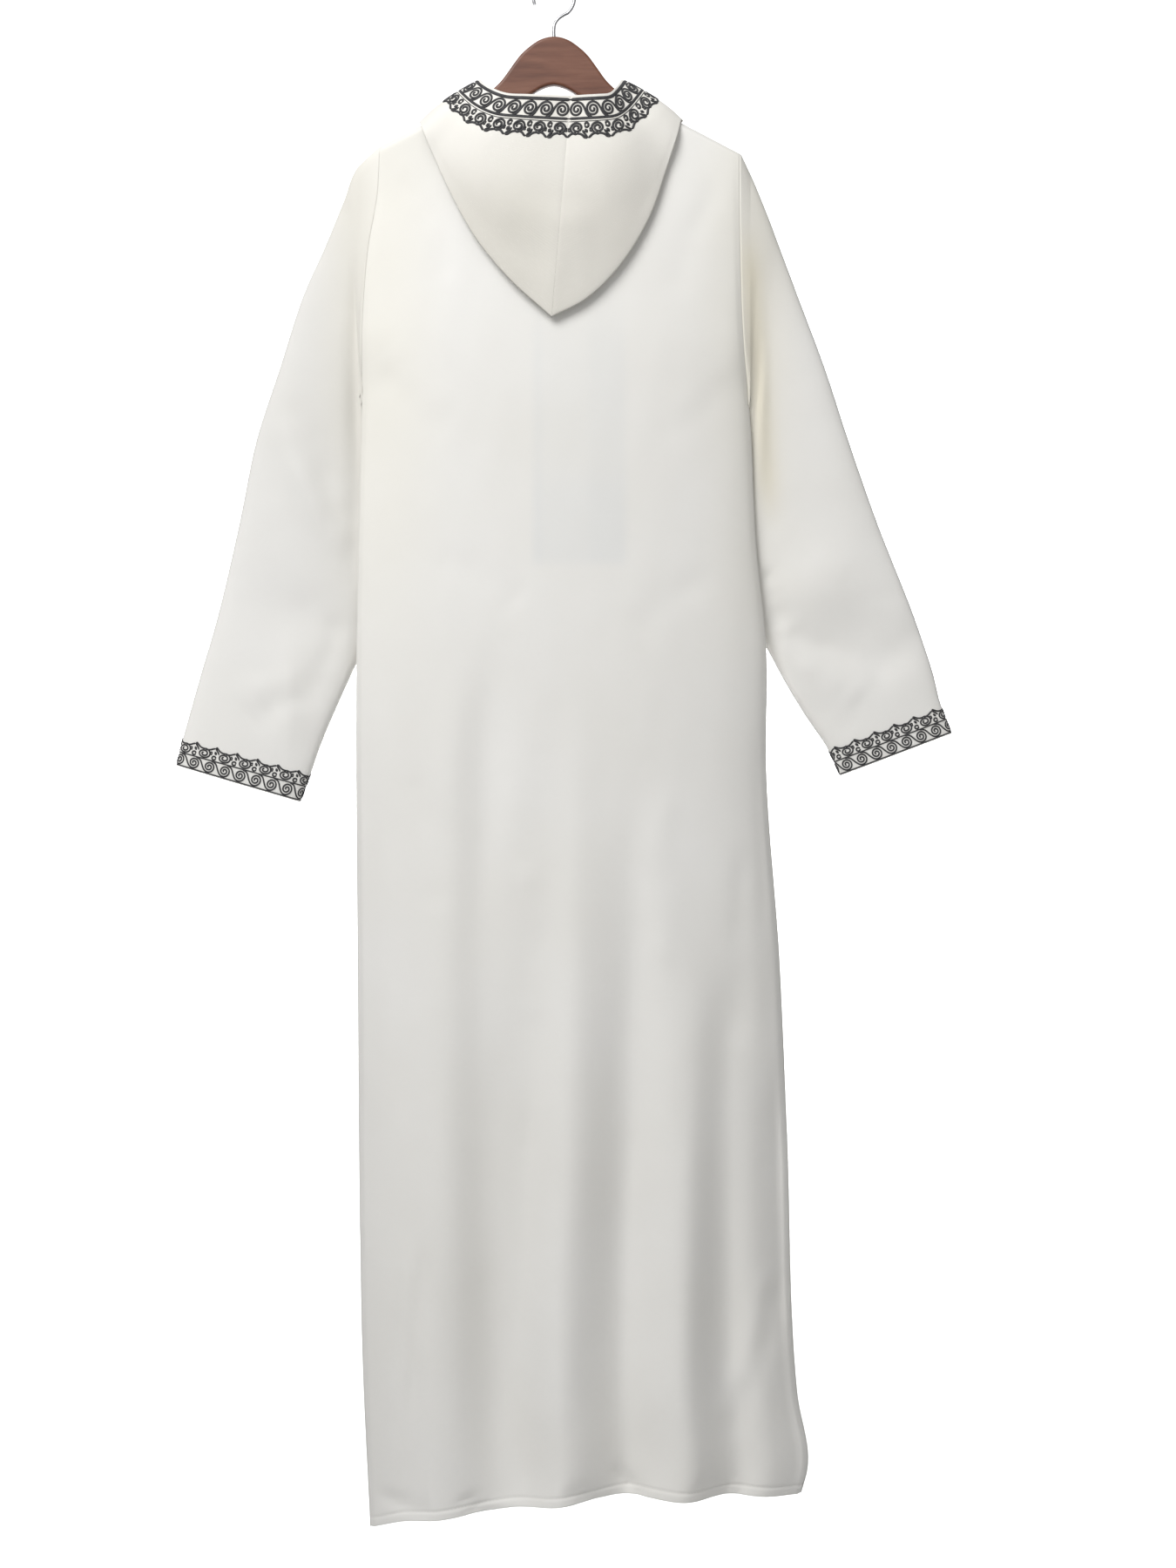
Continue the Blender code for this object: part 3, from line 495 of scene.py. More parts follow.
def hood_section(rows, station, side):
    """One section of the hood, from the neck seam over the roll, down to the fold and up to the face edge."""
    angle = math.pi * station / HOOD_STATIONS
    x = side * NECK_HALF_WIDTH * math.sin(angle)
    facing = np.clip((station - HOOD_STATIONS / 2.0), -1.0, 1.0)
    y = float(top_depth(x)) * (0.0 if abs(facing) < 0.01 else math.copysign(1.0, facing))
    drop = float(top_drop(x, facing > 0))
    out_x, out_y = neck_outward(x, y)
    lift = SEAM_LIFT + 2.0 * math.sin(angle) ** 8
    seat = np.array([x + out_x * CLOTH / 2.0, y + out_y * CLOTH / 2.0, drop - lift])
    out = np.array([out_x, out_y, 0.0])
    up = np.array([0.0, 0.0, -1.0])
    roll = [
        seat + up * height * ROLL_HEIGHT + out * width * ROLL_WIDTH
        for height, width in ((0.0, 0.0), (0.55, 0.0), (1.0, 0.5), (0.5, 1.0))
    ]
    row = [float(read(rows, station, column)) for column in range(1, 7)]
    fold_out, edge_drop, edge_y, fold_x, fold_drop, edge_x = row
    fold_y = facing * (float(body_face(fold_x, fold_drop, facing > 0)) + fold_out)
    fold = np.array([fold_x, fold_y, float(over_shoulder(fold_x, fold_y, fold_drop))])
    edge = np.array([edge_x, edge_y, edge_drop])
    inner = []
    for part in HOOD_LAYER_PARTS:
        point = roll[-1] + (fold - roll[-1]) * part
        level = max(point[2], float(top_drop(point[0], facing > 0)) + WRAP_DROP)
        face = float(body_face(point[0], level, facing > 0)) + HOOD_CLEARANCE
        pull = facing * face if abs(facing) > 0.99 else facing * max(face, abs(point[1]))
        point[1] = pull + (fold_y - pull) * smooth_step((part - 0.6) / 0.4)
        point[2] = float(over_shoulder(point[0], point[1], point[2]))
        inner.append(point)
    bow = (fold + edge) / 2.0 + POUCH_BULGE * np.array([out_x * abs(math.sin(angle)), out_y, 0.0])
    fine = bowed_path(fold, bow, edge, np.linspace(0.0, 1.0, HOOD_PATH_POINTS))
    from_edge = lengths_along(fine[::-1])[::-1]
    length = from_edge[0]
    trim = min(HOOD_TRIM_WIDTH + TRIM_EDGE, MOST_OF_HOOD * length)
    wanted = [trim + (length - trim) * part for part in (1.0, 0.86, 0.5, 0.0)]
    wanted += [trim * part + TRIM_EDGE * (1.0 - part) for part in (0.66, 0.33, 0.0)] + [0.0]
    places = np.interp(-np.array(wanted), -from_edge, np.linspace(0.0, 1.0, HOOD_PATH_POINTS))
    return np.array(roll + inner + list(bowed_path(fold, bow, edge, places)))


def hood_grid(half):
    """The coarse points of one half of the hood, as the solid has them. Rows run to the face edge."""
    stations = sorted([*range(HOOD_STATIONS + 1), HOOD_STATIONS / 2 - 0.5, HOOD_STATIONS / 2 + 0.5])
    rows = joined(HOOD_SHAPE, half)
    side = -1.0 if half[2][0] < 0 else 1.0
    sections = [hood_section(rows, station, side) for station in stations]
    gap = np.array([side * HOOD_SEAM, 0.0, 0.0])
    sections = [sections[0] + gap] + sections[1:-1] + [sections[-1] + gap]
    points = np.array(sections).transpose(1, 0, 2)
    return world(points[..., 0], points[..., 1], points[..., 2])


def finer(points, counts):
    """A grid of points with each stretch between two rows cut into a count of steps, on a smooth curve."""
    knots = lengths_along(points)
    places = [knots[0]]
    for start, end, count in zip(knots[:-1], knots[1:], counts):
        places.extend(np.linspace(start, end, count + 1)[1:])
    slopes = np.gradient(points, knots, axis=0)
    return hermite(knots, points, slopes, np.array(places))


# Surfaces


def normals_of(points, closed):
    """Normals of a grid, out of the side that faces its faces."""
    down = np.gradient(points, axis=0)
    if closed:
        right = np.roll(points, -1, axis=1) - np.roll(points, 1, axis=1)
    else:
        right = np.gradient(points, axis=1)
    normal = np.cross(down, right)
    return normal / np.maximum(np.linalg.norm(normal, axis=-1, keepdims=True), 1e-9)


def pixels(points):
    """The photograph's pixels that points in millimetres fall on, seen straight from behind."""
    x = points[..., 0] / MM_PER_PIXEL + PIXEL_OF_ZERO_X
    y = (-points[..., 2] - HOOK_HEIGHT) / MM_PER_PIXEL + PIXEL_OF_ZERO_DROP
    return x, y


def grid_faces(rows, columns, closed=False, flip=False, parted=None):
    """Quads of a grid of vertices. A parted column has none."""
    index = np.arange(rows * columns).reshape(rows, columns)
    right = np.roll(index, -1, axis=1)
    quads = np.stack([index[:-1], index[1:], right[1:], right[:-1]], axis=-1)
    if not closed:
        quads = quads[:, :-1]
    if parted is not None:
        keep = np.ones(quads.shape[:2], bool)
        keep[:, parted] = False
        quads = quads[keep]
    quads = quads.reshape(-1, 4)
    return quads[:, ::-1] if flip else quads


def in_scene(name, data):
    item = bpy.data.objects.new(name, data)
    bpy.context.scene.collection.objects.link(item)
    return item


def mesh_piece(name, points, faces, uv, made):
    """A smooth mesh of points in millimetres, with a place in the weave for each point."""
    mesh = bpy.data.meshes.new(name)
    mesh.from_pydata((points * MM).tolist(), [], faces)
    corners = np.empty(len(mesh.loops), np.int32)
    mesh.loops.foreach_get("vertex_index", corners)
    mesh.uv_layers.new(name="weave").data.foreach_set("uv", uv[corners].astype(np.float32).reshape(-1))
    mesh.shade_smooth()
    mesh.materials.append(made)
    return in_scene(name, mesh)


def cloth_object(name, points, made, closed=False, flip=False, parted=None, tint=None):
    """A thin shell of cloth around a grid of points in millimetres."""
    rows, columns = points.shape[:2]
    quads = grid_faces(rows, columns, closed, flip, parted)
    v_of = lengths_along(points) * MM
    u_of = lengths_along(points.transpose(1, 0, 2)) * MM
    uv = np.stack(np.broadcast_arrays(u_of[None, :], v_of[:, None]), axis=-1).reshape(-1, 2)
    piece = mesh_piece(name, points.reshape(-1, 3), quads.tolist(), uv, made)
    colours = np.ones((rows * columns, 4), np.float32)
    if tint is not None:
        colours[:, :3] = tint.reshape(-1, 3)
    layer = piece.data.attributes.new("tint", "FLOAT_COLOR", "POINT")
    layer.data.foreach_set("color", colours.reshape(-1))
    if parted is not None:
        merge_close(piece.data)
    shell = piece.modifiers.new("Shell", "SOLIDIFY")
    shell.thickness = SHELL * MM
    shell.offset = 0.0
    even = piece.modifiers.new("Even", "WEIGHTED_NORMAL")
    even.mode = "FACE_AREA"
    even.weight = 80
    return piece


def merge_close(mesh):
    """Joins vertices that lie on the same place, as below the end of the slit."""
    work = bmesh.new()
    work.from_mesh(mesh)
    bmesh.ops.remove_doubles(work, verts=work.verts, dist=0.01 * MM)
    work.to_mesh(mesh)
    work.free()


# Creases

# Each crease is a path over the photograph's pixels, as x and y by turns, its half width in pixels and its
# height in millimetres, above 0 for a ridge and below 0 for a trough
BACK_CREASES = (
    ((522, 740, 516, 1100, 526, 1550, 539, 1760), 18, 3.0),
    ((566, 720, 556, 1100, 566, 1550, 580, 1760), 20, -5.6),
    ((692, 760, 672, 1200, 660, 1350, 652, 1550, 652, 1760), 18, -1.0),
    ((716, 740, 704, 1200, 695, 1350, 688, 1550, 686, 1760), 20, 1.2),
    ((803, 1090, 790, 1450, 778, 1760), 17, 3.2), ((838, 1080, 830, 1450, 832, 1760), 19, -4.4),
    ((900, 1200, 905, 1480, 912, 1760), 34, -8.0), ((474, 1400, 446, 1760), 9, 2.4),
    ((490, 1410, 466, 1760), 9, -2.8), ((893, 1455, 868, 1560, 832, 1650), 11, -2.2),
    ((884, 1440, 856, 1545, 818, 1630), 11, 1.5), ((610, 1240, 604, 1480, 612, 1760), 12, -1.8),
    ((742, 1300, 736, 1520, 742, 1760), 13, 1.6), ((424, 800, 428, 1100, 424, 1400), 8, -1.3),
    ((876, 800, 878, 1050, 884, 1250), 9, -1.5), ((455, 196, 498, 268, 520, 330), 10, -1.2),
    ((824, 205, 790, 285, 772, 350), 11, -1.1), ((438, 420, 470, 470, 520, 505), 10, -0.8),
    ((445, 395, 482, 442, 530, 470), 10, 0.5), ((838, 430, 800, 480, 752, 512), 12, -0.6),
    ((846, 404, 806, 450, 768, 476), 12, 0.4), ((500, 640, 560, 668, 604, 700), 13, -0.9),
    ((820, 660, 768, 690, 720, 735), 13, -1.0), ((470, 880, 500, 960, 505, 1050), 12, -1.0),
    ((600, 980, 618, 1080, 612, 1180), 12, 1.0), ((770, 900, 752, 1010, 760, 1120), 13, 1.1),
    ((853, 960, 846, 1080, 852, 1200), 10, -1.2), ((430, 1706, 462, 1714, 502, 1720), 8, -2.4),
    ((536, 1696, 548, 1720, 566, 1736), 10, -3.0), ((646, 1688, 672, 1698, 690, 1704), 9, -2.6),
    ((700, 1668, 722, 1688, 740, 1702), 7, -3.4), ((796, 1676, 830, 1698, 852, 1710), 12, -2.8),
    ((560, 1712, 600, 1718, 640, 1724), 7, 1.6),
)
FRONT_CREASES = (
    ((458, 900, 450, 1200, 455, 1760), 15, 3.0), ((486, 860, 482, 1200, 490, 1760), 16, -4.2),
    ((585, 760, 574, 1150, 580, 1500, 590, 1760), 15, 2.8),
    ((612, 740, 606, 1150, 614, 1500, 626, 1760), 17, -4.8), ((716, 840, 712, 1250, 724, 1760), 14, 2.6),
    ((746, 820, 744, 1250, 758, 1760), 16, -4.0), ((850, 1150, 850, 1450, 862, 1760), 13, -3.0),
    ((500, 330, 560, 420, 590, 500), 12, -1.3), ((790, 320, 738, 410, 702, 480), 12, -1.2),
    ((436, 410, 478, 462, 540, 500), 11, -1.5), ((842, 425, 800, 470, 740, 505), 11, -1.4),
    ((520, 700, 575, 740, 610, 800), 13, 1.0), ((805, 640, 752, 690, 712, 760), 13, -1.1),
    ((640, 1000, 652, 1120, 645, 1250), 12, -1.2), ((830, 1330, 806, 1440, 770, 1530), 10, -2.2),
)
LEFT_SLEEVE_BACK = (
    ((433, 205, 427, 250, 418, 290, 412, 340, 409, 428, 409, 539, 404, 700), 8, -9.0),
    ((404, 236, 396, 244, 384, 246), 3.5, -2.2), ((402, 228, 390, 234), 4, 1.6),
    ((316, 470, 330, 520, 358, 575, 392, 640), 11, 3.2), ((334, 455, 352, 505, 382, 562, 404, 610), 13, -3.6),
    ((376, 260, 352, 330, 336, 410), 16, -2.2), ((300, 560, 326, 640, 352, 700), 15, 1.4),
    ((392, 700, 372, 760, 346, 820), 10, -3.4), ((352, 800, 316, 812, 286, 836), 11, -2.6),
    ((344, 772, 306, 786, 270, 806), 12, 1.8), ((262, 640, 288, 720, 300, 790), 12, -1.2),
    ((400, 350, 380, 420, 372, 500), 10, 1.3),
)
LEFT_SLEEVE_FRONT = (
    ((330, 430, 362, 500, 395, 560), 12, 3.4), ((316, 470, 350, 540, 384, 602), 12, -3.2),
    ((292, 560, 322, 622, 360, 680), 12, 2.2), ((268, 690, 300, 750, 330, 800), 12, -2.0),
    ((396, 250, 372, 330, 356, 400), 14, -1.8),
)
RIGHT_SLEEVE_BACK = (
    ((858, 290, 866, 380, 874, 480, 884, 570), 17, -2.0), ((874, 650, 888, 690, 900, 724), 10, -5.0),
    ((884, 736, 932, 770, 992, 804), 11, 4.2), ((1066, 716, 1030, 752, 990, 776), 15, -4.6),
    ((900, 720, 950, 742, 1006, 762), 10, -2.6), ((915, 800, 950, 822, 985, 838), 10, -1.8),
    ((1000, 560, 1016, 640, 1024, 700), 18, -2.6), ((940, 420, 962, 500, 968, 580), 15, 1.3),
    ((890, 600, 930, 640, 980, 660), 12, 1.2), ((866, 200, 880, 240, 896, 290), 10, 1.3),
)
RIGHT_SLEEVE_FRONT = (
    ((880, 620, 930, 660, 990, 680), 12, 3.2), ((872, 665, 925, 706, 990, 728), 12, -3.4),
    ((900, 745, 950, 780, 1010, 800), 11, 2.4), ((870, 300, 892, 400, 905, 500), 14, -2.0),
    ((1010, 590, 1030, 660, 1044, 720), 15, -1.8),
)
# The hood hangs in a swag: a full roll from side to side, and cloth that tucks in below it
HOOD_CREASES = (
    ((478, 150, 510, 196, 556, 236, 600, 262, 640, 272, 690, 270), 20, 5.5),
    ((484, 190, 520, 236, 560, 272, 604, 298, 648, 308), 17, -5.5), ((560, 170, 600, 190, 640, 196), 16, -2.4),
    ((724, 130, 716, 170, 692, 200, 670, 212), 20, 3.4), ((748, 214, 720, 250, 690, 268), 12, -2.4),
    ((596, 242, 640, 262, 688, 262), 10, 2.0), ((606, 226, 648, 244, 700, 240), 9, -1.6),
    ((520, 250, 566, 304, 612, 340), 9, 2.0), ((722, 300, 690, 330, 660, 350), 9, 1.8),
)
CREASE_END = 0.16
CREASE_STEPS = 6
RIPPLES = 7
SMALL_RIPPLE = 0.2
SEAM_KEEP = 14.0
PLACKET_KEEP = 24.0
SLIT_END_KEEP = 60.0
SLEEVE_TOP_ROWS = 12.0

# How much wider and how much higher the creases of a piece are than their tables say
BODY_CREASING = (1.35, 1.0)
SLEEVE_BACK_CREASING = (1.35, 0.6)
SLEEVE_FRONT_CREASING = (1.35, 0.8)
HOOD_CREASING = (1.5, 0.3)

# Steps between the coarse rows of the hood, and the fine rows where its fold and its band begin
HOOD_ROWS = (3, 3, 3, 6, 6, 6, 4, 4, 6, 16, 20, 8, 8, 8, 3)
HOOD_FOLD_ROW = 35
HOOD_TRIM_ROW = 77
HOOD_BAND_ROWS = slice(-28, -3)


def crease_field(points, creases, widen, strength):
    """How far each point moves outward, in millimetres, from all the creases near it."""
    px, py = pixels(points)
    total = np.zeros_like(px)
    for path, half_width, height in creases:
        route = smooth_line(np.reshape(path, (-1, 2)), CREASE_STEPS)
        starts, ends = route[:-1], route[1:]
        lengths = np.linalg.norm(ends - starts, axis=1)
        before = lengths_along(route)
        near = np.full_like(px, 1e9)
        at = np.zeros_like(px)
        for start, end, length, first in zip(starts, ends, lengths, before):
            run = (end - start) / length
            along = np.clip((px - start[0]) * run[0] + (py - start[1]) * run[1], 0.0, length)
            away = np.hypot(px - start[0] - run[0] * along, py - start[1] - run[1] * along)
            closer = away < near
            near = np.where(closer, away, near)
            at = np.where(closer, (first + along) / before[-1], at)
        ends_in = smooth_step(at / CREASE_END) * smooth_step((1.0 - at) / CREASE_END)
        uneven = 1.0 + 0.22 * np.sin(at * 9.0 + height) + 0.12 * np.sin(at * 23.0 + half_width)
        spread = widen * half_width * (0.85 + 0.3 * at)
        total += strength * height * uneven * ends_in * bell(near, spread)
    return total


def ripple(points, scale, seed):
    """A smooth uneven field from -1 to 1, for the small unevenness of hanging cloth."""
    draw = np.random.default_rng(seed)
    total = np.zeros(points.shape[:-1])
    for _ in range(RIPPLES):
        direction = draw.normal(size=2)
        direction = direction / np.linalg.norm(direction) * draw.uniform(0.6, 1.5) * 2.0 * math.pi / scale
        phase = points[..., 0] * direction[0] + points[..., 2] * direction[1] * 0.45
        total += np.sin(phase + draw.uniform(0.0, 6.3))
    return total / 4.0


def unevenness(points, height, broad, fine, seed):
    """Broad ripples of this height in millimetres, with small ones between them."""
    return height * ripple(points, broad, seed) + SMALL_RIPPLE * ripple(points, fine, seed + 1)


# Embroidery: threads laid along lines of a flat band, then wrapped on the cloth

SPIRAL_STEP = math.radians(17.0)
SCROLL_TURNS = 2.15
STITCH_LENGTH = 2.6
STITCH_GAP = 1.2
STITCH_WIDTH = 0.55
THREAD_HEIGHT = 0.55
HIGHEST_THREAD = 0.85
THREAD_TAPER = 0.7
THREAD_TIP = 0.35
THREAD_SECTION = ((-1.0, -0.25), (-0.62, 0.72), (0.0, 1.0), (0.62, 0.72), (1.0, -0.25))

# The wide band of the hood and placket, and the narrow one of the cuffs, measured from the cloth's edge:
# first line's place and width, row one's middle and scroll radius, second line's place and width,
# thin line's place (0 for none), start of row two, its height, wanted repeat of row one and of row two
WIDE_BAND = dict(line=2.1, line_width=4.2, middle=12.6, radius=7.9, second=21.8, second_width=3.4, thin=24.9,
                 row_two=24.6, height=18.8, repeat=17.4, repeat_two=20.4, thread=2.8)
NARROW_BAND = dict(line=1.8, line_width=1.6, middle=9.2, radius=6.4, second=16.3, second_width=1.5, thin=0.0,
                   row_two=16.4, height=14.4, repeat=16.8, repeat_two=22.2, thread=1.9)

# Row two's motif, drawn 23 wide and 16 high: along, away from the line. Rings have a radius too
LEAF = ((13.4, 11.7), (10.0, 11.9), (7.0, 13.0), (4.6, 14.8), (2.8, 16.0), (2.4, 14.8), (3.8, 12.8),
        (5.8, 10.8), (6.9, 8.6))
SHOULDER_LINE = ((13.4, 11.7), (16.8, 11.5), (19.6, 12.3), (22.2, 13.8), (24.6, 14.9))
DROP = ((1.8, 11.2), (3.0, 9.6), (4.1, 7.6))
COIL_MIDDLE = (13.4, 6.4)
COIL_RADII = (7.6, 6.0)
COIL_START = 100.0
COIL_SWEEP = 720.0
MOTIF_WIDTH = 23.0
MOTIF_HEIGHT = 16.0
RINGS = ((2.4, 3.7, 2.1), (21.0, 8.4, 1.3))


def smooth_line(points, count):
    """A smooth curve through a few points of a flat drawing."""
    loop = np.array(points, float)[:, None, :]
    return finer(loop, [count] * (len(points) - 1))[:, 0]


def running_scroll(repeat, radius, middle, turns):
    """One wave of the scroll: from the last scroll's far side to this one's near side, then winding in."""
    first = math.radians(-140.0)
    start = np.array([-repeat + 0.15 * radius, middle + radius])
    meet = np.array([radius * math.cos(first), middle + radius * math.sin(first)])
    pull_start = start + np.array([0.42 * repeat, 0.0])
    pull_meet = meet - 0.45 * repeat * np.array([-math.sin(first), math.cos(first)])
    t = np.linspace(0.0, 1.0, 12)[:-1, None]
    sweep = start * (1 - t) ** 3 + 3 * pull_start * t * (1 - t) ** 2
    sweep = sweep + 3 * pull_meet * t * t * (1 - t) + meet * t**3
    angles = np.arange(first, first + turns * 2.0 * math.pi, SPIRAL_STEP)
    shrink = radius * (1.0 - 0.92 * (angles - first) / (turns * 2.0 * math.pi))
    coil = np.stack([shrink * np.cos(angles), middle + shrink * np.sin(angles)], axis=1)
    return np.vstack([sweep, coil])


def ring_line(across, away, radius):
    angles = np.linspace(0.0, 2.0 * math.pi, 15)
    return np.stack([across + radius * np.cos(angles), away + radius * np.sin(angles)], axis=1)


def second_motif():
    """Lines and thread widths of one repeat of the second row, in its own drawing's units."""
    angles = np.arange(math.radians(COIL_START), math.radians(COIL_START - COIL_SWEEP), -SPIRAL_STEP)
    shrink = 1.0 - 0.8 * (angles[0] - angles) / (angles[0] - angles[-1])
    coil = np.stack([
        COIL_MIDDLE[0] + COIL_RADII[0] * shrink * np.cos(angles),
        COIL_MIDDLE[1] + COIL_RADII[1] * shrink * np.sin(angles),
    ], axis=1)
    drawn = ((LEAF, 1.05), (SHOULDER_LINE, 1.05), (DROP, 1.6))
    lines = [(smooth_line(line, 3), width) for line, width in drawn]
    lines.insert(2, (coil, 1.0))
    return lines + [(ring_line(across, away, radius), 1.0) for across, away, radius in RINGS]


def band_lines(length, band, closed):
    """All the lines of a band of this length, as points along and from the edge, each with a thread width."""
    straight = np.linspace(0.0, length, max(int(length / 3.0), 8))
    lines = []
    for line, width in (("line", band["line_width"]), ("second", band["second_width"]), ("thin", 1.0)):
        if band[line]:
            lines.append((np.stack([straight, np.full_like(straight, band[line])], axis=1), width))
    count = max(round(length / band["repeat"]), 1)
    repeat = length / count
    wave = running_scroll(repeat, band["radius"], band["middle"], SCROLL_TURNS)
    for index in range(count):
        lines.append((wave + np.array([(index + 0.55) * repeat, 0.0]), band["thread"]))
    count = max(round(length / band["repeat_two"]), 1)
    scale = np.array([length / count / MOTIF_WIDTH, band["height"] / MOTIF_HEIGHT])
    for index in range(count):
        for points, width in second_motif():
            moved = points * scale + np.array([index * length / count, band["row_two"]])
            lines.append((moved, width * band["thread"]))
    if closed:
        return lines
    kept = []
    for points, width in lines:
        inside = (points[:, 0] > -0.5) & (points[:, 0] < length + 0.5)
        if inside.sum() > 3:
            kept.append((points[inside], width))
    return kept


def band_place(grid, normals, closed):
    """A function from places along a band and from its edge to points on the cloth and their normals."""
    if closed:
        grid = np.concatenate([grid, grid[:, :1]], axis=1)
        normals = np.concatenate([normals, normals[:, :1]], axis=1)
    middle = grid[grid.shape[0] // 2]
    along = lengths_along(middle)
    away = lengths_along(grid)

    def place(points):
        u = np.mod(points[:, 0], along[-1]) if closed else points[:, 0]
        column = np.interp(u, along, np.arange(len(along)))
        row = np.interp(points[:, 1], away, np.arange(len(away)))
        c0 = np.clip(column.astype(int), 0, grid.shape[1] - 2)
        r0 = np.clip(row.astype(int), 0, grid.shape[0] - 2)
        fc = (column - c0)[:, None]
        fr = (row - r0)[:, None]

        def mixed(values):
            near = values[r0, c0] * (1 - fc) + values[r0, c0 + 1] * fc
            far = values[r0 + 1, c0] * (1 - fc) + values[r0 + 1, c0 + 1] * fc
            return near * (1 - fr) + far * fr

        return mixed(grid), mixed(normals)

    return place, along[-1]


def thread_object(name, strands, made):
    """Raised threads: each strand is its points on the cloth, their normals and a width, all in millimetres."""
    points, quads, uvs = [], [], []
    sides = len(THREAD_SECTION)
    for centre, normal, width in strands:
        tangent = np.gradient(centre, axis=0)
        tangent /= np.maximum(np.linalg.norm(tangent, axis=1, keepdims=True), 1e-9)
        normal = normal / np.maximum(np.linalg.norm(normal, axis=1, keepdims=True), 1e-9)
        side = np.cross(tangent, normal)
        height = min(THREAD_HEIGHT * width, HIGHEST_THREAD)
        first = len(points)
        lengths = lengths_along(centre)
        from_end = np.minimum(lengths, lengths[-1] - lengths)
        taper = np.clip(from_end / (THREAD_TAPER * width) + THREAD_TIP, THREAD_TIP, 1.0)
        for index in range(len(centre)):
            wide = 0.5 * width * taper[index]
            for out, up in THREAD_SECTION:
                raised = normal[index] * up * height * taper[index]
                points.append(centre[index] + side[index] * out * wide + raised)
                uvs.append((lengths[index] * MM, out * wide * MM))
        for index in range(len(centre) - 1):
            a = first + index * sides
            for k in range(sides):
                m = (k + 1) % sides
                quads.append((a + k, a + m, a + m + sides, a + k + sides))
        quads.append(tuple(first + k for k in reversed(range(sides))))
        quads.append(tuple(first + (len(centre) - 1) * sides + k for k in range(sides)))
    return mesh_piece(name, np.array(points), quads, np.array(uvs), made)


def embroider(name, grid, normals, band, made, closed=False, backward=False):
    """A band's embroidery on a grid of the cloth's outer face, whose first row is the cloth's edge."""
    place, length = band_place(grid, normals, closed)
    strands = []
    for points, width in band_lines(length, band, closed):
        if backward:
            points = points * np.array([-1.0, 1.0]) + np.array([length, 0.0])
        centre, normal = place(points)
        strands.append((centre, normal, width))
    return thread_object(name, strands, made)


def stitch_row(name, line, normals, made):
    """A row of small stitches along a line of points on the cloth."""
    along = lengths_along(line)
    strands = []
    for start in np.arange(STITCH_GAP, along[-1] - STITCH_LENGTH, STITCH_LENGTH + STITCH_GAP):
        places = start + np.linspace(0.0, STITCH_LENGTH, 4)
        centre, normal = (
            np.stack([np.interp(places, along, values[:, axis]) for axis in range(3)], axis=1)
            for values in (line, normals)
        )
        strands.append((centre, normal, STITCH_WIDTH))
    return thread_object(name, strands, made)


def hem_stitches(name, base, outward, made):
    """The stitches that hold a panel's turned hem, along the hem's upper edge."""
    above = base[..., 2] - base[-1:, :, 2]
    row = int(np.argmin(np.abs(above.mean(axis=1) - HEM_TURN)))
    normals = normals_of(base, False)[row] * -outward
    normals[:, 1] = np.copysign(normals[:, 1], outward)
    return stitch_row(name, base[row] + normals * (SHELL / 2.0), normals, made)


# Materials


def new_material(name, colour, roughness, **sockets):
    """A material with constants on its shader's sockets, its node tree and its shader."""
    made = bpy.data.materials.new(name)
    made.use_nodes = True
    shader = made.node_tree.nodes["Principled BSDF"]
    shader.inputs["Base Color"].default_value = (*colour, 1.0)
    shader.inputs["Roughness"].default_value = roughness
    for socket, value in sockets.items():
        shader.inputs[socket.replace("_", " ")].default_value = value
    return made, made.node_tree, shader


def add(tree, kind, source=None, socket="Vector", **inputs):
    """A new shader node with constants on its sockets, and a source joined to one of them."""
    node = tree.nodes.new("ShaderNode" + kind)
    for name, value in inputs.items():
        node.inputs[name.replace("_", " ")].default_value = value
    if source is not None:
        tree.links.new(source, node.inputs[socket])
    return node


def mottle(tree, source, stops, target, **inputs):
    """Noise, joined to a target socket through a ramp of colours. Gives the noise back."""
    noise = add(tree, "TexNoise", source, **inputs).outputs["Fac"]
    node = add(tree, "ValToRGB", noise, "Fac")
    for element, (place, colour) in zip(node.color_ramp.elements, (stops[0], stops[-1])):
        element.position = place
        element.color = (*colour, 1.0)
    for place, colour in stops[1:-1]:
        node.color_ramp.elements.new(place).color = (*colour, 1.0)
    tree.links.new(node.outputs["Color"], target)
    return noise


def object_place(tree):
    return add(tree, "TexCoord").outputs["Object"]


def bands(tree, direction, **inputs):
    """Fine bands over the weave's own coordinates."""
    place = add(tree, "UVMap")
    place.uv_map = "weave"
    node = add(tree, "TexWave", place.outputs["UV"], **inputs)
    node.bands_direction = direction
    return node.outputs["Fac"]


def raise_by(tree, shader, height, strength, distance):
    """A bump by a node's value, for what is finer than the mesh."""
    bump = add(tree, "Bump", height, "Height", Strength=strength, Distance=distance)
    tree.links.new(bump.outputs["Normal"], shader.inputs["Normal"])


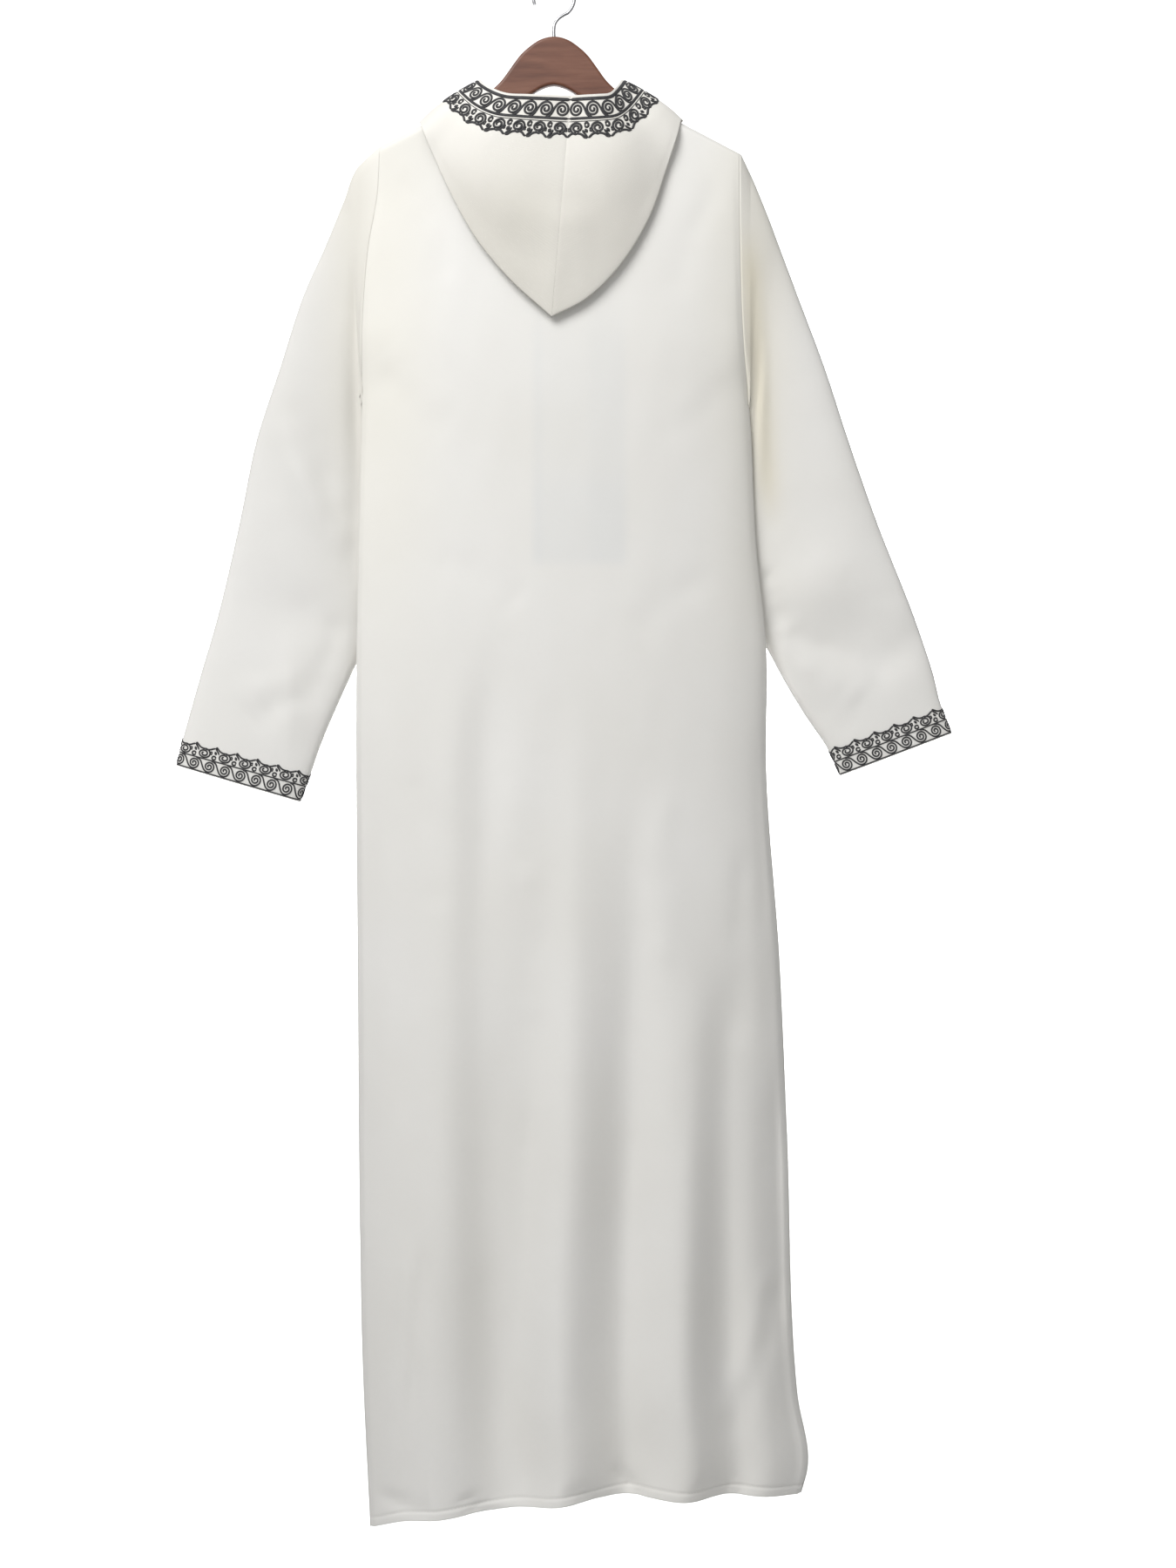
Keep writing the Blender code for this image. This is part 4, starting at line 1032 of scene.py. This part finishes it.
def crepe_material():
    """Ivory crepe: a dry, slightly uneven colour, a fine weave with crinkled threads, and a soft sheen."""
    made, tree, shader = new_material("ivory_crepe", (0.78, 0.77, 0.74), 0.82, Sheen_Weight=0.18,
                                      Sheen_Roughness=0.5, Specular_IOR_Level=0.25)
    place = object_place(tree)
    multiply = add(tree, "Mix")
    multiply.data_type = "RGBA"
    multiply.blend_type = "MULTIPLY"
    multiply.inputs["Factor"].default_value = 1.0
    tones = ((0.3, (0.765, 0.752, 0.715)), (0.7, (0.80, 0.79, 0.762)))
    mottle(tree, place, tones, multiply.inputs["A"], Scale=5.0, Detail=3.0)
    # The tint attribute multiplies in each piece's cream tones with its painted shade, painted shadow and
    # painted highlight
    tint = add(tree, "Attribute")
    tint.attribute_name = "tint"
    tree.links.new(tint.outputs["Color"], multiply.inputs["B"])
    tree.links.new(multiply.outputs["Result"], shader.inputs["Base Color"])
    height = bands(tree, "X", Scale=420.0, Distortion=1.5, Detail=1.0)
    picks = bands(tree, "Y", Scale=380.0, Distortion=1.5, Detail=1.0)
    crinkle = add(tree, "TexNoise", place, Scale=520.0, Detail=2.0).outputs["Fac"]
    for more in (picks, crinkle):
        both = add(tree, "Math", height, 0)
        both.operation = "ADD"
        tree.links.new(more, both.inputs[1])
        height = both.outputs["Value"]
    raise_by(tree, shader, height, 0.25, 0.0003)
    return made


def wood_material():
    """Brown stained wood with a satin lacquer, its grain running along the arms."""
    made, tree, shader = new_material("brown_wood", (0.165, 0.062, 0.034), 0.5, Coat_Weight=0.12,
                                      Coat_Roughness=0.35)
    stretch = add(tree, "Mapping", object_place(tree), Scale=(14.0, 120.0, 150.0)).outputs["Vector"]
    tones = ((0.3, (0.11, 0.038, 0.02)), (0.5, (0.155, 0.058, 0.032)), (0.72, (0.20, 0.085, 0.05)))
    grain = mottle(tree, stretch, tones, shader.inputs["Base Color"], Scale=1.0, Detail=6.0, Roughness=0.6)
    raise_by(tree, shader, grain, 0.2, 0.0004)
    return made


def steel_material():
    """Plated steel wire, polished, with faint drawing marks."""
    made, tree, shader = new_material("hook_steel", (0.36, 0.36, 0.37), 0.3, Metallic=1.0)
    rough = ((0.3, (0.2, 0.2, 0.2)), (0.7, (0.36, 0.36, 0.36)))
    mottle(tree, object_place(tree), rough, shader.inputs["Roughness"], Scale=900.0, Detail=2.0)
    return made


def ivory_thread_material():
    """Ivory sewing thread, a little brighter and smoother than the crepe."""
    made, tree, shader = new_material("ivory_thread", (0.8, 0.79, 0.75), 0.55)
    tones = ((0.3, (0.70, 0.69, 0.655)), (0.7, (0.80, 0.79, 0.75)))
    mottle(tree, object_place(tree), tones, shader.inputs["Base Color"], Scale=900.0, Detail=1.0)
    return made


def thread_material():
    """Charcoal machine embroidery: raised satin stitches with a low gloss."""
    made, tree, shader = new_material("charcoal_embroidery", (0.02, 0.02, 0.022), 0.5, Sheen_Weight=0.1)
    tones = ((0.3, (0.012, 0.012, 0.014)), (0.75, (0.04, 0.04, 0.043)))
    mottle(tree, object_place(tree), tones, shader.inputs["Base Color"], Scale=260.0, Detail=2.0)
    satin = bands(tree, "DIAGONAL", Scale=620.0, Distortion=0.6, Detail=1.0)
    raise_by(tree, shader, satin, 0.5, 0.0003)
    return made


# Hanger and hook


def half_outline(shoulder_x):
    """One half of the hanger's outline, from its top in the middle to its underside in the middle."""
    side = math.copysign(1.0, shoulder_x)
    tip = abs(shoulder_x) - TIP_INSET
    radius = TIP_HEIGHT / 2.0
    top = [(side * x, drop) for x, drop in HANGER_TOP]
    for x in np.linspace(HANGER_TOP[-1][0], tip - radius, 5)[1:]:
        top.append((side * x, float(top_drop(side * x, False)) + ARM_CLEARANCE))
    end_x, end_drop = top[-1]
    middle = end_drop + radius
    for turn in np.radians((50, 15, -20, -55)):
        top.append((end_x + side * radius * math.cos(turn), middle - radius * math.sin(turn)))
    top.append((end_x - side * TIP_FOOT, middle + radius))
    return top + [(side * x, drop) for x, drop in HANGER_UNDERSIDE]


def curve_piece(name, places, made, dimensions, depth, resolution):
    """A curve through places in millimetres, with a round edge or a round section of this depth."""
    curve = bpy.data.curves.new(name, "CURVE")
    curve.dimensions = dimensions
    curve.bevel_depth = depth * MM
    curve.bevel_resolution = resolution
    spline = curve.splines.new("POLY")
    spline.points.add(len(places) - 1)
    for point, (x, y, z) in zip(spline.points, places):
        point.co = (x * MM, y * MM, z * MM, 1.0)
    curve.materials.append(made)
    return in_scene(name, curve), curve


def build_hanger(made):
    outline = np.array(half_outline(SHOULDER_RIGHT_X) + half_outline(SHOULDER_LEFT_X)[-2:0:-1], float)
    loop = np.vstack([outline[-2:], outline, outline[:2]])[:, None, :]
    smooth = finer(loop, [4] * (len(loop) - 1))[8:-4, 0]
    places = [(x, -(HOOK_HEIGHT + drop), 0.0) for x, drop in smooth]
    piece, curve = curve_piece("hanger_wood", places, made, "2D", HANGER_ROUND, 4)
    curve.fill_mode = "BOTH"
    curve.extrude = (HANGER_THICKNESS / 2.0 - HANGER_ROUND) * MM
    curve.offset = -HANGER_ROUND * MM
    curve.splines[0].use_cyclic_u = True
    piece.rotation_euler = (math.pi / 2.0, 0.0, 0.0)
    return piece


def build_hook(made):
    radius = CROWN_RADIUS + WIRE / 2.0
    crown = [
        (radius * math.cos(turn), -CROWN_RADIUS + radius * math.sin(turn))
        for turn in np.radians(np.linspace(-48.0, 200.0, 26))
    ]
    foot = [(0.0, -HOOK_HEIGHT + SEAM_GAP), (0.0, -HOOK_HEIGHT + 10.0)]
    stem = foot + [(1.0, -47.5), (5.0, -42.0), (10.0, -38.5)]
    route = smooth_line(stem + crown, 4)
    piece, curve = curve_piece("hook_wire", [(x, 0.0, z) for x, z in route], made, "3D", WIRE / 2.0, 6)
    curve.use_fill_caps = True
    return piece


# The set, in metres: lamps by name, place, target, size and power

LENS = 60.87
CAMERA_PLACE = (0.0359, -2.8, -0.8504)
SKY = 0.4
LAMPS = (
    ("key", (-1.15, -1.9, 1.25), (0.0, 0.0, -0.3), 1.9, 73.0),
    ("fill", (2.0, -2.8, 0.6), (0.0, 0.0, -0.5), 2.4, 8.0),
    ("backdrop_left", (-2.2, 3.8, 0.1), (-2.2, 5.4, -0.4), 1.4, 190.0),
    ("backdrop_right", (2.2, 3.8, 0.1), (2.2, 5.4, -0.4), 1.4, 190.0),
)


def build_camera():
    lens = bpy.data.cameras.new("camera")
    lens.lens = LENS
    lens.sensor_width = 36.0
    lens.sensor_fit = "AUTO"
    camera = in_scene("camera", lens)
    camera.location = CAMERA_PLACE
    camera.rotation_euler = (math.pi / 2.0, 0.0, 0.0)
    bpy.context.scene.camera = camera


def area_light(name, place, target, size, power):
    lamp = bpy.data.lights.new(name, "AREA")
    lamp.shape = "DISK"
    lamp.size = size
    lamp.energy = power
    item = in_scene(name, lamp)
    item.location = place
    x, y, z = np.array(target) - np.array(place)
    item.rotation_euler = (math.atan2(math.hypot(x, y), -z), 0.0, math.atan2(y, x) - math.pi / 2)


def build_set():
    sky = bpy.data.worlds.new("studio")
    sky.use_nodes = True
    light = sky.node_tree.nodes["Background"]
    light.inputs["Color"].default_value = (1.0, 1.0, 1.0, 1.0)
    light.inputs["Strength"].default_value = SKY
    bpy.context.scene.world = sky
    bpy.context.scene.view_settings.view_transform = "Standard"
    wide, low, high, near, far, bend = 3.0, -3.6, 2.6, -5.0, 5.4, 0.8
    profile = [(near, low), (far - bend, low)]
    for turn in np.linspace(0.0, math.pi / 2.0, 13)[1:]:
        profile.append((far - bend + bend * math.sin(turn), low + bend * (1.0 - math.cos(turn))))
    profile.append((far, high))
    grid = np.array([[(x, y, z) for x in (-wide, wide)] for y, z in profile])
    mesh = bpy.data.meshes.new("backdrop")
    mesh.from_pydata(grid.reshape(-1, 3).tolist(), [], grid_faces(len(profile), 2).tolist())
    mesh.shade_smooth()
    mesh.materials.append(new_material("backdrop_paper", (0.93, 0.93, 0.93), 0.9)[0])
    in_scene("backdrop", mesh)
    for lamp in LAMPS:
        area_light(*lamp)


# Creases on each piece, and the cloth's tones with their painted shade, painted shadow and painted highlight


def panel_dressed(points, outward, creases, seed):
    """A body panel's middle surface with its creases. Its seams stay where the solid has them."""
    base = points + normals_of(points, False) * -outward * CLOTH / 2.0
    from_left = np.abs(base[..., 0] - base[:, :1, 0])
    from_right = np.abs(base[..., 0] - base[:, -1:, 0])
    below = base[:1, :, 2] - base[..., 2]
    free = smooth_step(np.minimum(from_left, from_right) / SEAM_KEEP) * smooth_step(below / NECK_EASE)
    if outward > 0.0:
        drop = -HOOK_HEIGHT - base[..., 2]
        beside = rises(np.abs(base[..., 0] - slit_x(drop)), PLACKET_WIDTH + 2.0, PLACKET_KEEP)
        free = free * (1.0 - falls(drop, SLIT_DROP + SLIT_END_KEEP, SLIT_END_KEEP) * (1.0 - beside))
    small = unevenness(base, 0.55, 130.0, 48.0, seed)
    move = (crease_field(base, creases, *BODY_CREASING) + small) * free
    above_hem = base[..., 2] - base[-1:, :, 2]
    turned = HEM_RAISE * falls(above_hem, HEM_TURN, HEM_STEP)
    stitched = HEM_GROOVE * bell(above_hem - HEM_TURN, HEM_GROOVE_WIDTH)
    base[..., 1] += outward * (move + turned - stitched)
    return base


def back_tone_and_painted_shadow(points):
    """Cream toward the armholes, and a painted shadow of the front bands' stitching through the cloth, as a
    bluish patch.
    """
    px, py = pixels(points)
    # Painted shadow: the front bands' stitching darkens this patch of the back, a little bluish, as if seen
    # through the cloth.
    painted_shadow_patch = rises(px, 604.0, 16.0) * falls(px, 726.0, 16.0) * rises(py, 330.0, 90.0) * falls(py, 660.0, 18.0)
    left_line = bell(px - 617.0, 7.0)
    right_band = rises(px, 668.0, 16.0)
    shade = painted_shadow_patch * (0.012 + 0.014 * left_line + 0.010 * right_band + 0.014 * rises(py, 530.0, 50.0))
    side = rises(np.abs(px - 655.0), 120.0, 90.0) * falls(py, 900.0, 500.0)
    tint = 1.0 - side[..., None] * np.array([0.0, 0.008, 0.045])
    return tint - shade[..., None] * np.array([1.5, 1.15, 0.7])


def sleeve_tone_and_painted_shade(points):
    """Cream beside the armhole, a painted shadow of the body's edge down the right one, and painted shade on
    the upper part of the left one.
    """
    px, py = pixels(points)
    near = falls(np.minimum(np.abs(px - 415.0), np.abs(px - 868.0)), 70.0, 70.0) * falls(py, 820.0, 500.0)
    tint = 1.0 - near[..., None] * np.array([0.0, 0.012, 0.055])
    # Painted shadow: a tan band where the body's edge shades the right sleeve.
    band = bell(px - 858.0 - 0.085 * (py - 280.0), 15.0) * rises(py, 250.0, 70.0) * falls(py, 620.0, 80.0)
    # Painted shade: the left sleeve is darker in its upper part.
    left = falls(px, 440.0, 30.0) * falls(py, 900.0, 500.0)
    return tint * (1.0 - 0.10 * left[..., None]) - band[..., None] * np.array([0.06, 0.09, 0.17])


def sleeve_dressed(points, on_back, on_front, seed):
    """A sleeve's middle surface with its creases, which fade at the armhole, the edges and the cuff."""
    rows, columns = points.shape[:2]
    turn = np.arange(columns) / (columns // 2)
    is_back = turn <= 1.0
    lens = np.clip(np.sin(math.pi * np.where(is_back, turn, turn - 1.0)), 0.0, 1.0) ** 0.6
    fade = smooth_step(np.arange(rows) / SLEEVE_TOP_ROWS)[:, None]
    cuff = 1.0 - 0.75 * rises(np.arange(rows) / rows, 0.9, 0.05)[:, None]
    small = unevenness(points, 0.5, 110.0, 45.0, seed)
    back = crease_field(points, on_back, *SLEEVE_BACK_CREASING) + small
    front = crease_field(points, on_front, *SLEEVE_FRONT_CREASING) + small
    moved = points.copy()
    moved[..., 1] += np.where(is_back[None, :], -back, front) * lens * fade * cuff
    return moved


def hood_dressed(points):
    """The hood's middle surface with its swag. Only the outer layer at the back takes it."""
    row = np.arange(points.shape[0])[:, None]
    outer = rises(row, HOOD_FOLD_ROW + 1.0, 8.0)
    below_band = 1.0 - 0.8 * rises(row, HOOD_TRIM_ROW - 8.0, 20.0)
    at_back = rises(-points[..., 1], 14.0, 14.0)
    small = unevenness(points, 0.5, 90.0, 40.0, 51)
    moved = points.copy()
    moved[..., 1] -= (crease_field(points, HOOD_CREASES, *HOOD_CREASING) + small) * outer * below_band * at_back
    return moved


def hood_tone_and_painted_light(points):
    """The hood is a little creamier than the robe, with painted shade on its lower part, most of all where its
    swag tucks in, and a painted highlight on its upper right.
    """
    px, py = pixels(points)
    # Painted shade: the lower part of the hood, more on its left, darkens toward a shaded colour.
    low = rises(py, 150.0, 120.0) * (0.55 + 0.45 * falls(px, 670.0, 90.0))
    warm = np.array([1.0, 0.99, 0.965])
    painted_shade_colour = np.array([0.80, 0.785, 0.742])
    # Painted highlight on the upper right of the hood.
    painted_highlight = rises(px, 640.0, 60.0) * falls(py, 240.0, 80.0)
    return warm + (painted_shade_colour - warm) * low[..., None] + 0.05 * painted_highlight[..., None]


# The pieces


def keep(piece, slot, node=None):
    """Fixes a piece to the body, in the place of its node. Plain stitches have none."""
    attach(piece, "root")
    if node:
        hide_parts(node)
    return piece


def keep_band(name, side, *arguments):
    """The embroidery of one band, kept in the place of the band's node."""
    return keep(embroider(name + "_" + side + "_embroidery", *arguments), "charcoal_embroidery",
                name + "_trim_" + side)


def build_panels(crepe, thread, sewing):
    back = panel_dressed(panel_points(False), -1.0, BACK_CREASES, 11)
    piece = cloth_object("back_panel_cloth", back, crepe, tint=back_tone_and_painted_shadow(back))
    keep(piece, "ivory_crepe", "back_panel")
    stitches = keep(hem_stitches("hem_back_stitches", back, -1.0, sewing), "ivory_crepe")
    front = panel_dressed(panel_points(True), 1.0, FRONT_CREASES, 23)
    middle = front.shape[1] // 2
    doubled = np.insert(front, middle, front[:, middle], axis=1)
    open_rows = -HOOK_HEIGHT - doubled[:, middle, 2] < SLIT_DROP
    doubled[open_rows, middle, 0] -= SLIT_GAP / 2.0
    doubled[open_rows, middle + 1, 0] += SLIT_GAP / 2.0
    piece = cloth_object("front_panel_cloth", doubled, crepe, flip=True, parted=middle)
    keep(piece, "ivory_crepe", "front_panel")
    trims = [keep(hem_stitches("hem_front_stitches", front, 1.0, sewing), "ivory_crepe")]
    for name, side in (("left", -1.0), ("right", 1.0)):
        grid = placket_grid(side)
        trims.append(keep_band("placket", name, grid, normals_of(grid, False) * -side, WIDE_BAND, thread))


def build_sleeves(crepe, thread):
    places = np.linspace(EVEN_ROWS_START, 1.0, SLEEVE_ROWS)
    for name, side, folds, on_back, on_front, seed in (
        ("left", LEFT_SLEEVE, LEFT_SLEEVE_FOLDS, LEFT_SLEEVE_BACK, LEFT_SLEEVE_FRONT, 37),
        ("right", RIGHT_SLEEVE, RIGHT_SLEEVE_FOLDS, RIGHT_SLEEVE_BACK, RIGHT_SLEEVE_FRONT, 31),
    ):
        flip = name == "right"
        outward = -1.0 if flip else 1.0
        points = sleeve_points(side, folds, places)
        points = points + normals_of(points, True) * outward * CLOTH / 2.0
        points = sleeve_dressed(points, on_back, on_front, seed)
        tint = sleeve_tone_and_painted_shade(points)
        piece = cloth_object("sleeve_" + name + "_cloth", points, crepe, closed=True, flip=flip, tint=tint)
        keep(piece, "ivory_crepe", "sleeve_" + name)
        grid = points[2 + np.searchsorted(places, CUFF_BAND_START):][::-1]
        grid = grid + normals_of(grid, True) * -outward * SHELL / 2.0
        normal = -outward * normals_of(grid, True)
        trims = [keep_band("cuff", name, grid, normal, NARROW_BAND, thread, True, flip)]


def build_hood(crepe, thread):
    for name, half in (("left", HOOD_LEFT), ("right", HOOD_RIGHT)):
        flip = name == "left"
        coarse = hood_grid(half)
        fine = finer(coarse, HOOD_ROWS)
        fine = finer(fine.transpose(1, 0, 2), [HOOD_STEPS] * (coarse.shape[1] - 1)).transpose(1, 0, 2)
        fine = hood_dressed(fine)
        piece = cloth_object("hood_" + name + "_cloth", fine, crepe, flip=flip, tint=hood_tone_and_painted_light(fine))
        keep(piece, "ivory_crepe", "hood_" + name)
        band = fine[HOOD_BAND_ROWS][::-1]
        normal = normals_of(band, False) * (-1.0 if flip else 1.0)
        grid = band + normal * SHELL / 2.0
        trims = [keep_band("hood", name, grid, normal, WIDE_BAND, thread, False, True)]


def main():
    build_camera()
    build_set()
    crepe = crepe_material()
    thread = thread_material()
    keep(build_hanger(wood_material()), "brown_wood", "hanger")
    keep(build_hook(steel_material()), "hook_steel", "hook")
    build_panels(crepe, thread, ivory_thread_material())
    build_sleeves(crepe, thread)
    build_hood(crepe, thread)


main()
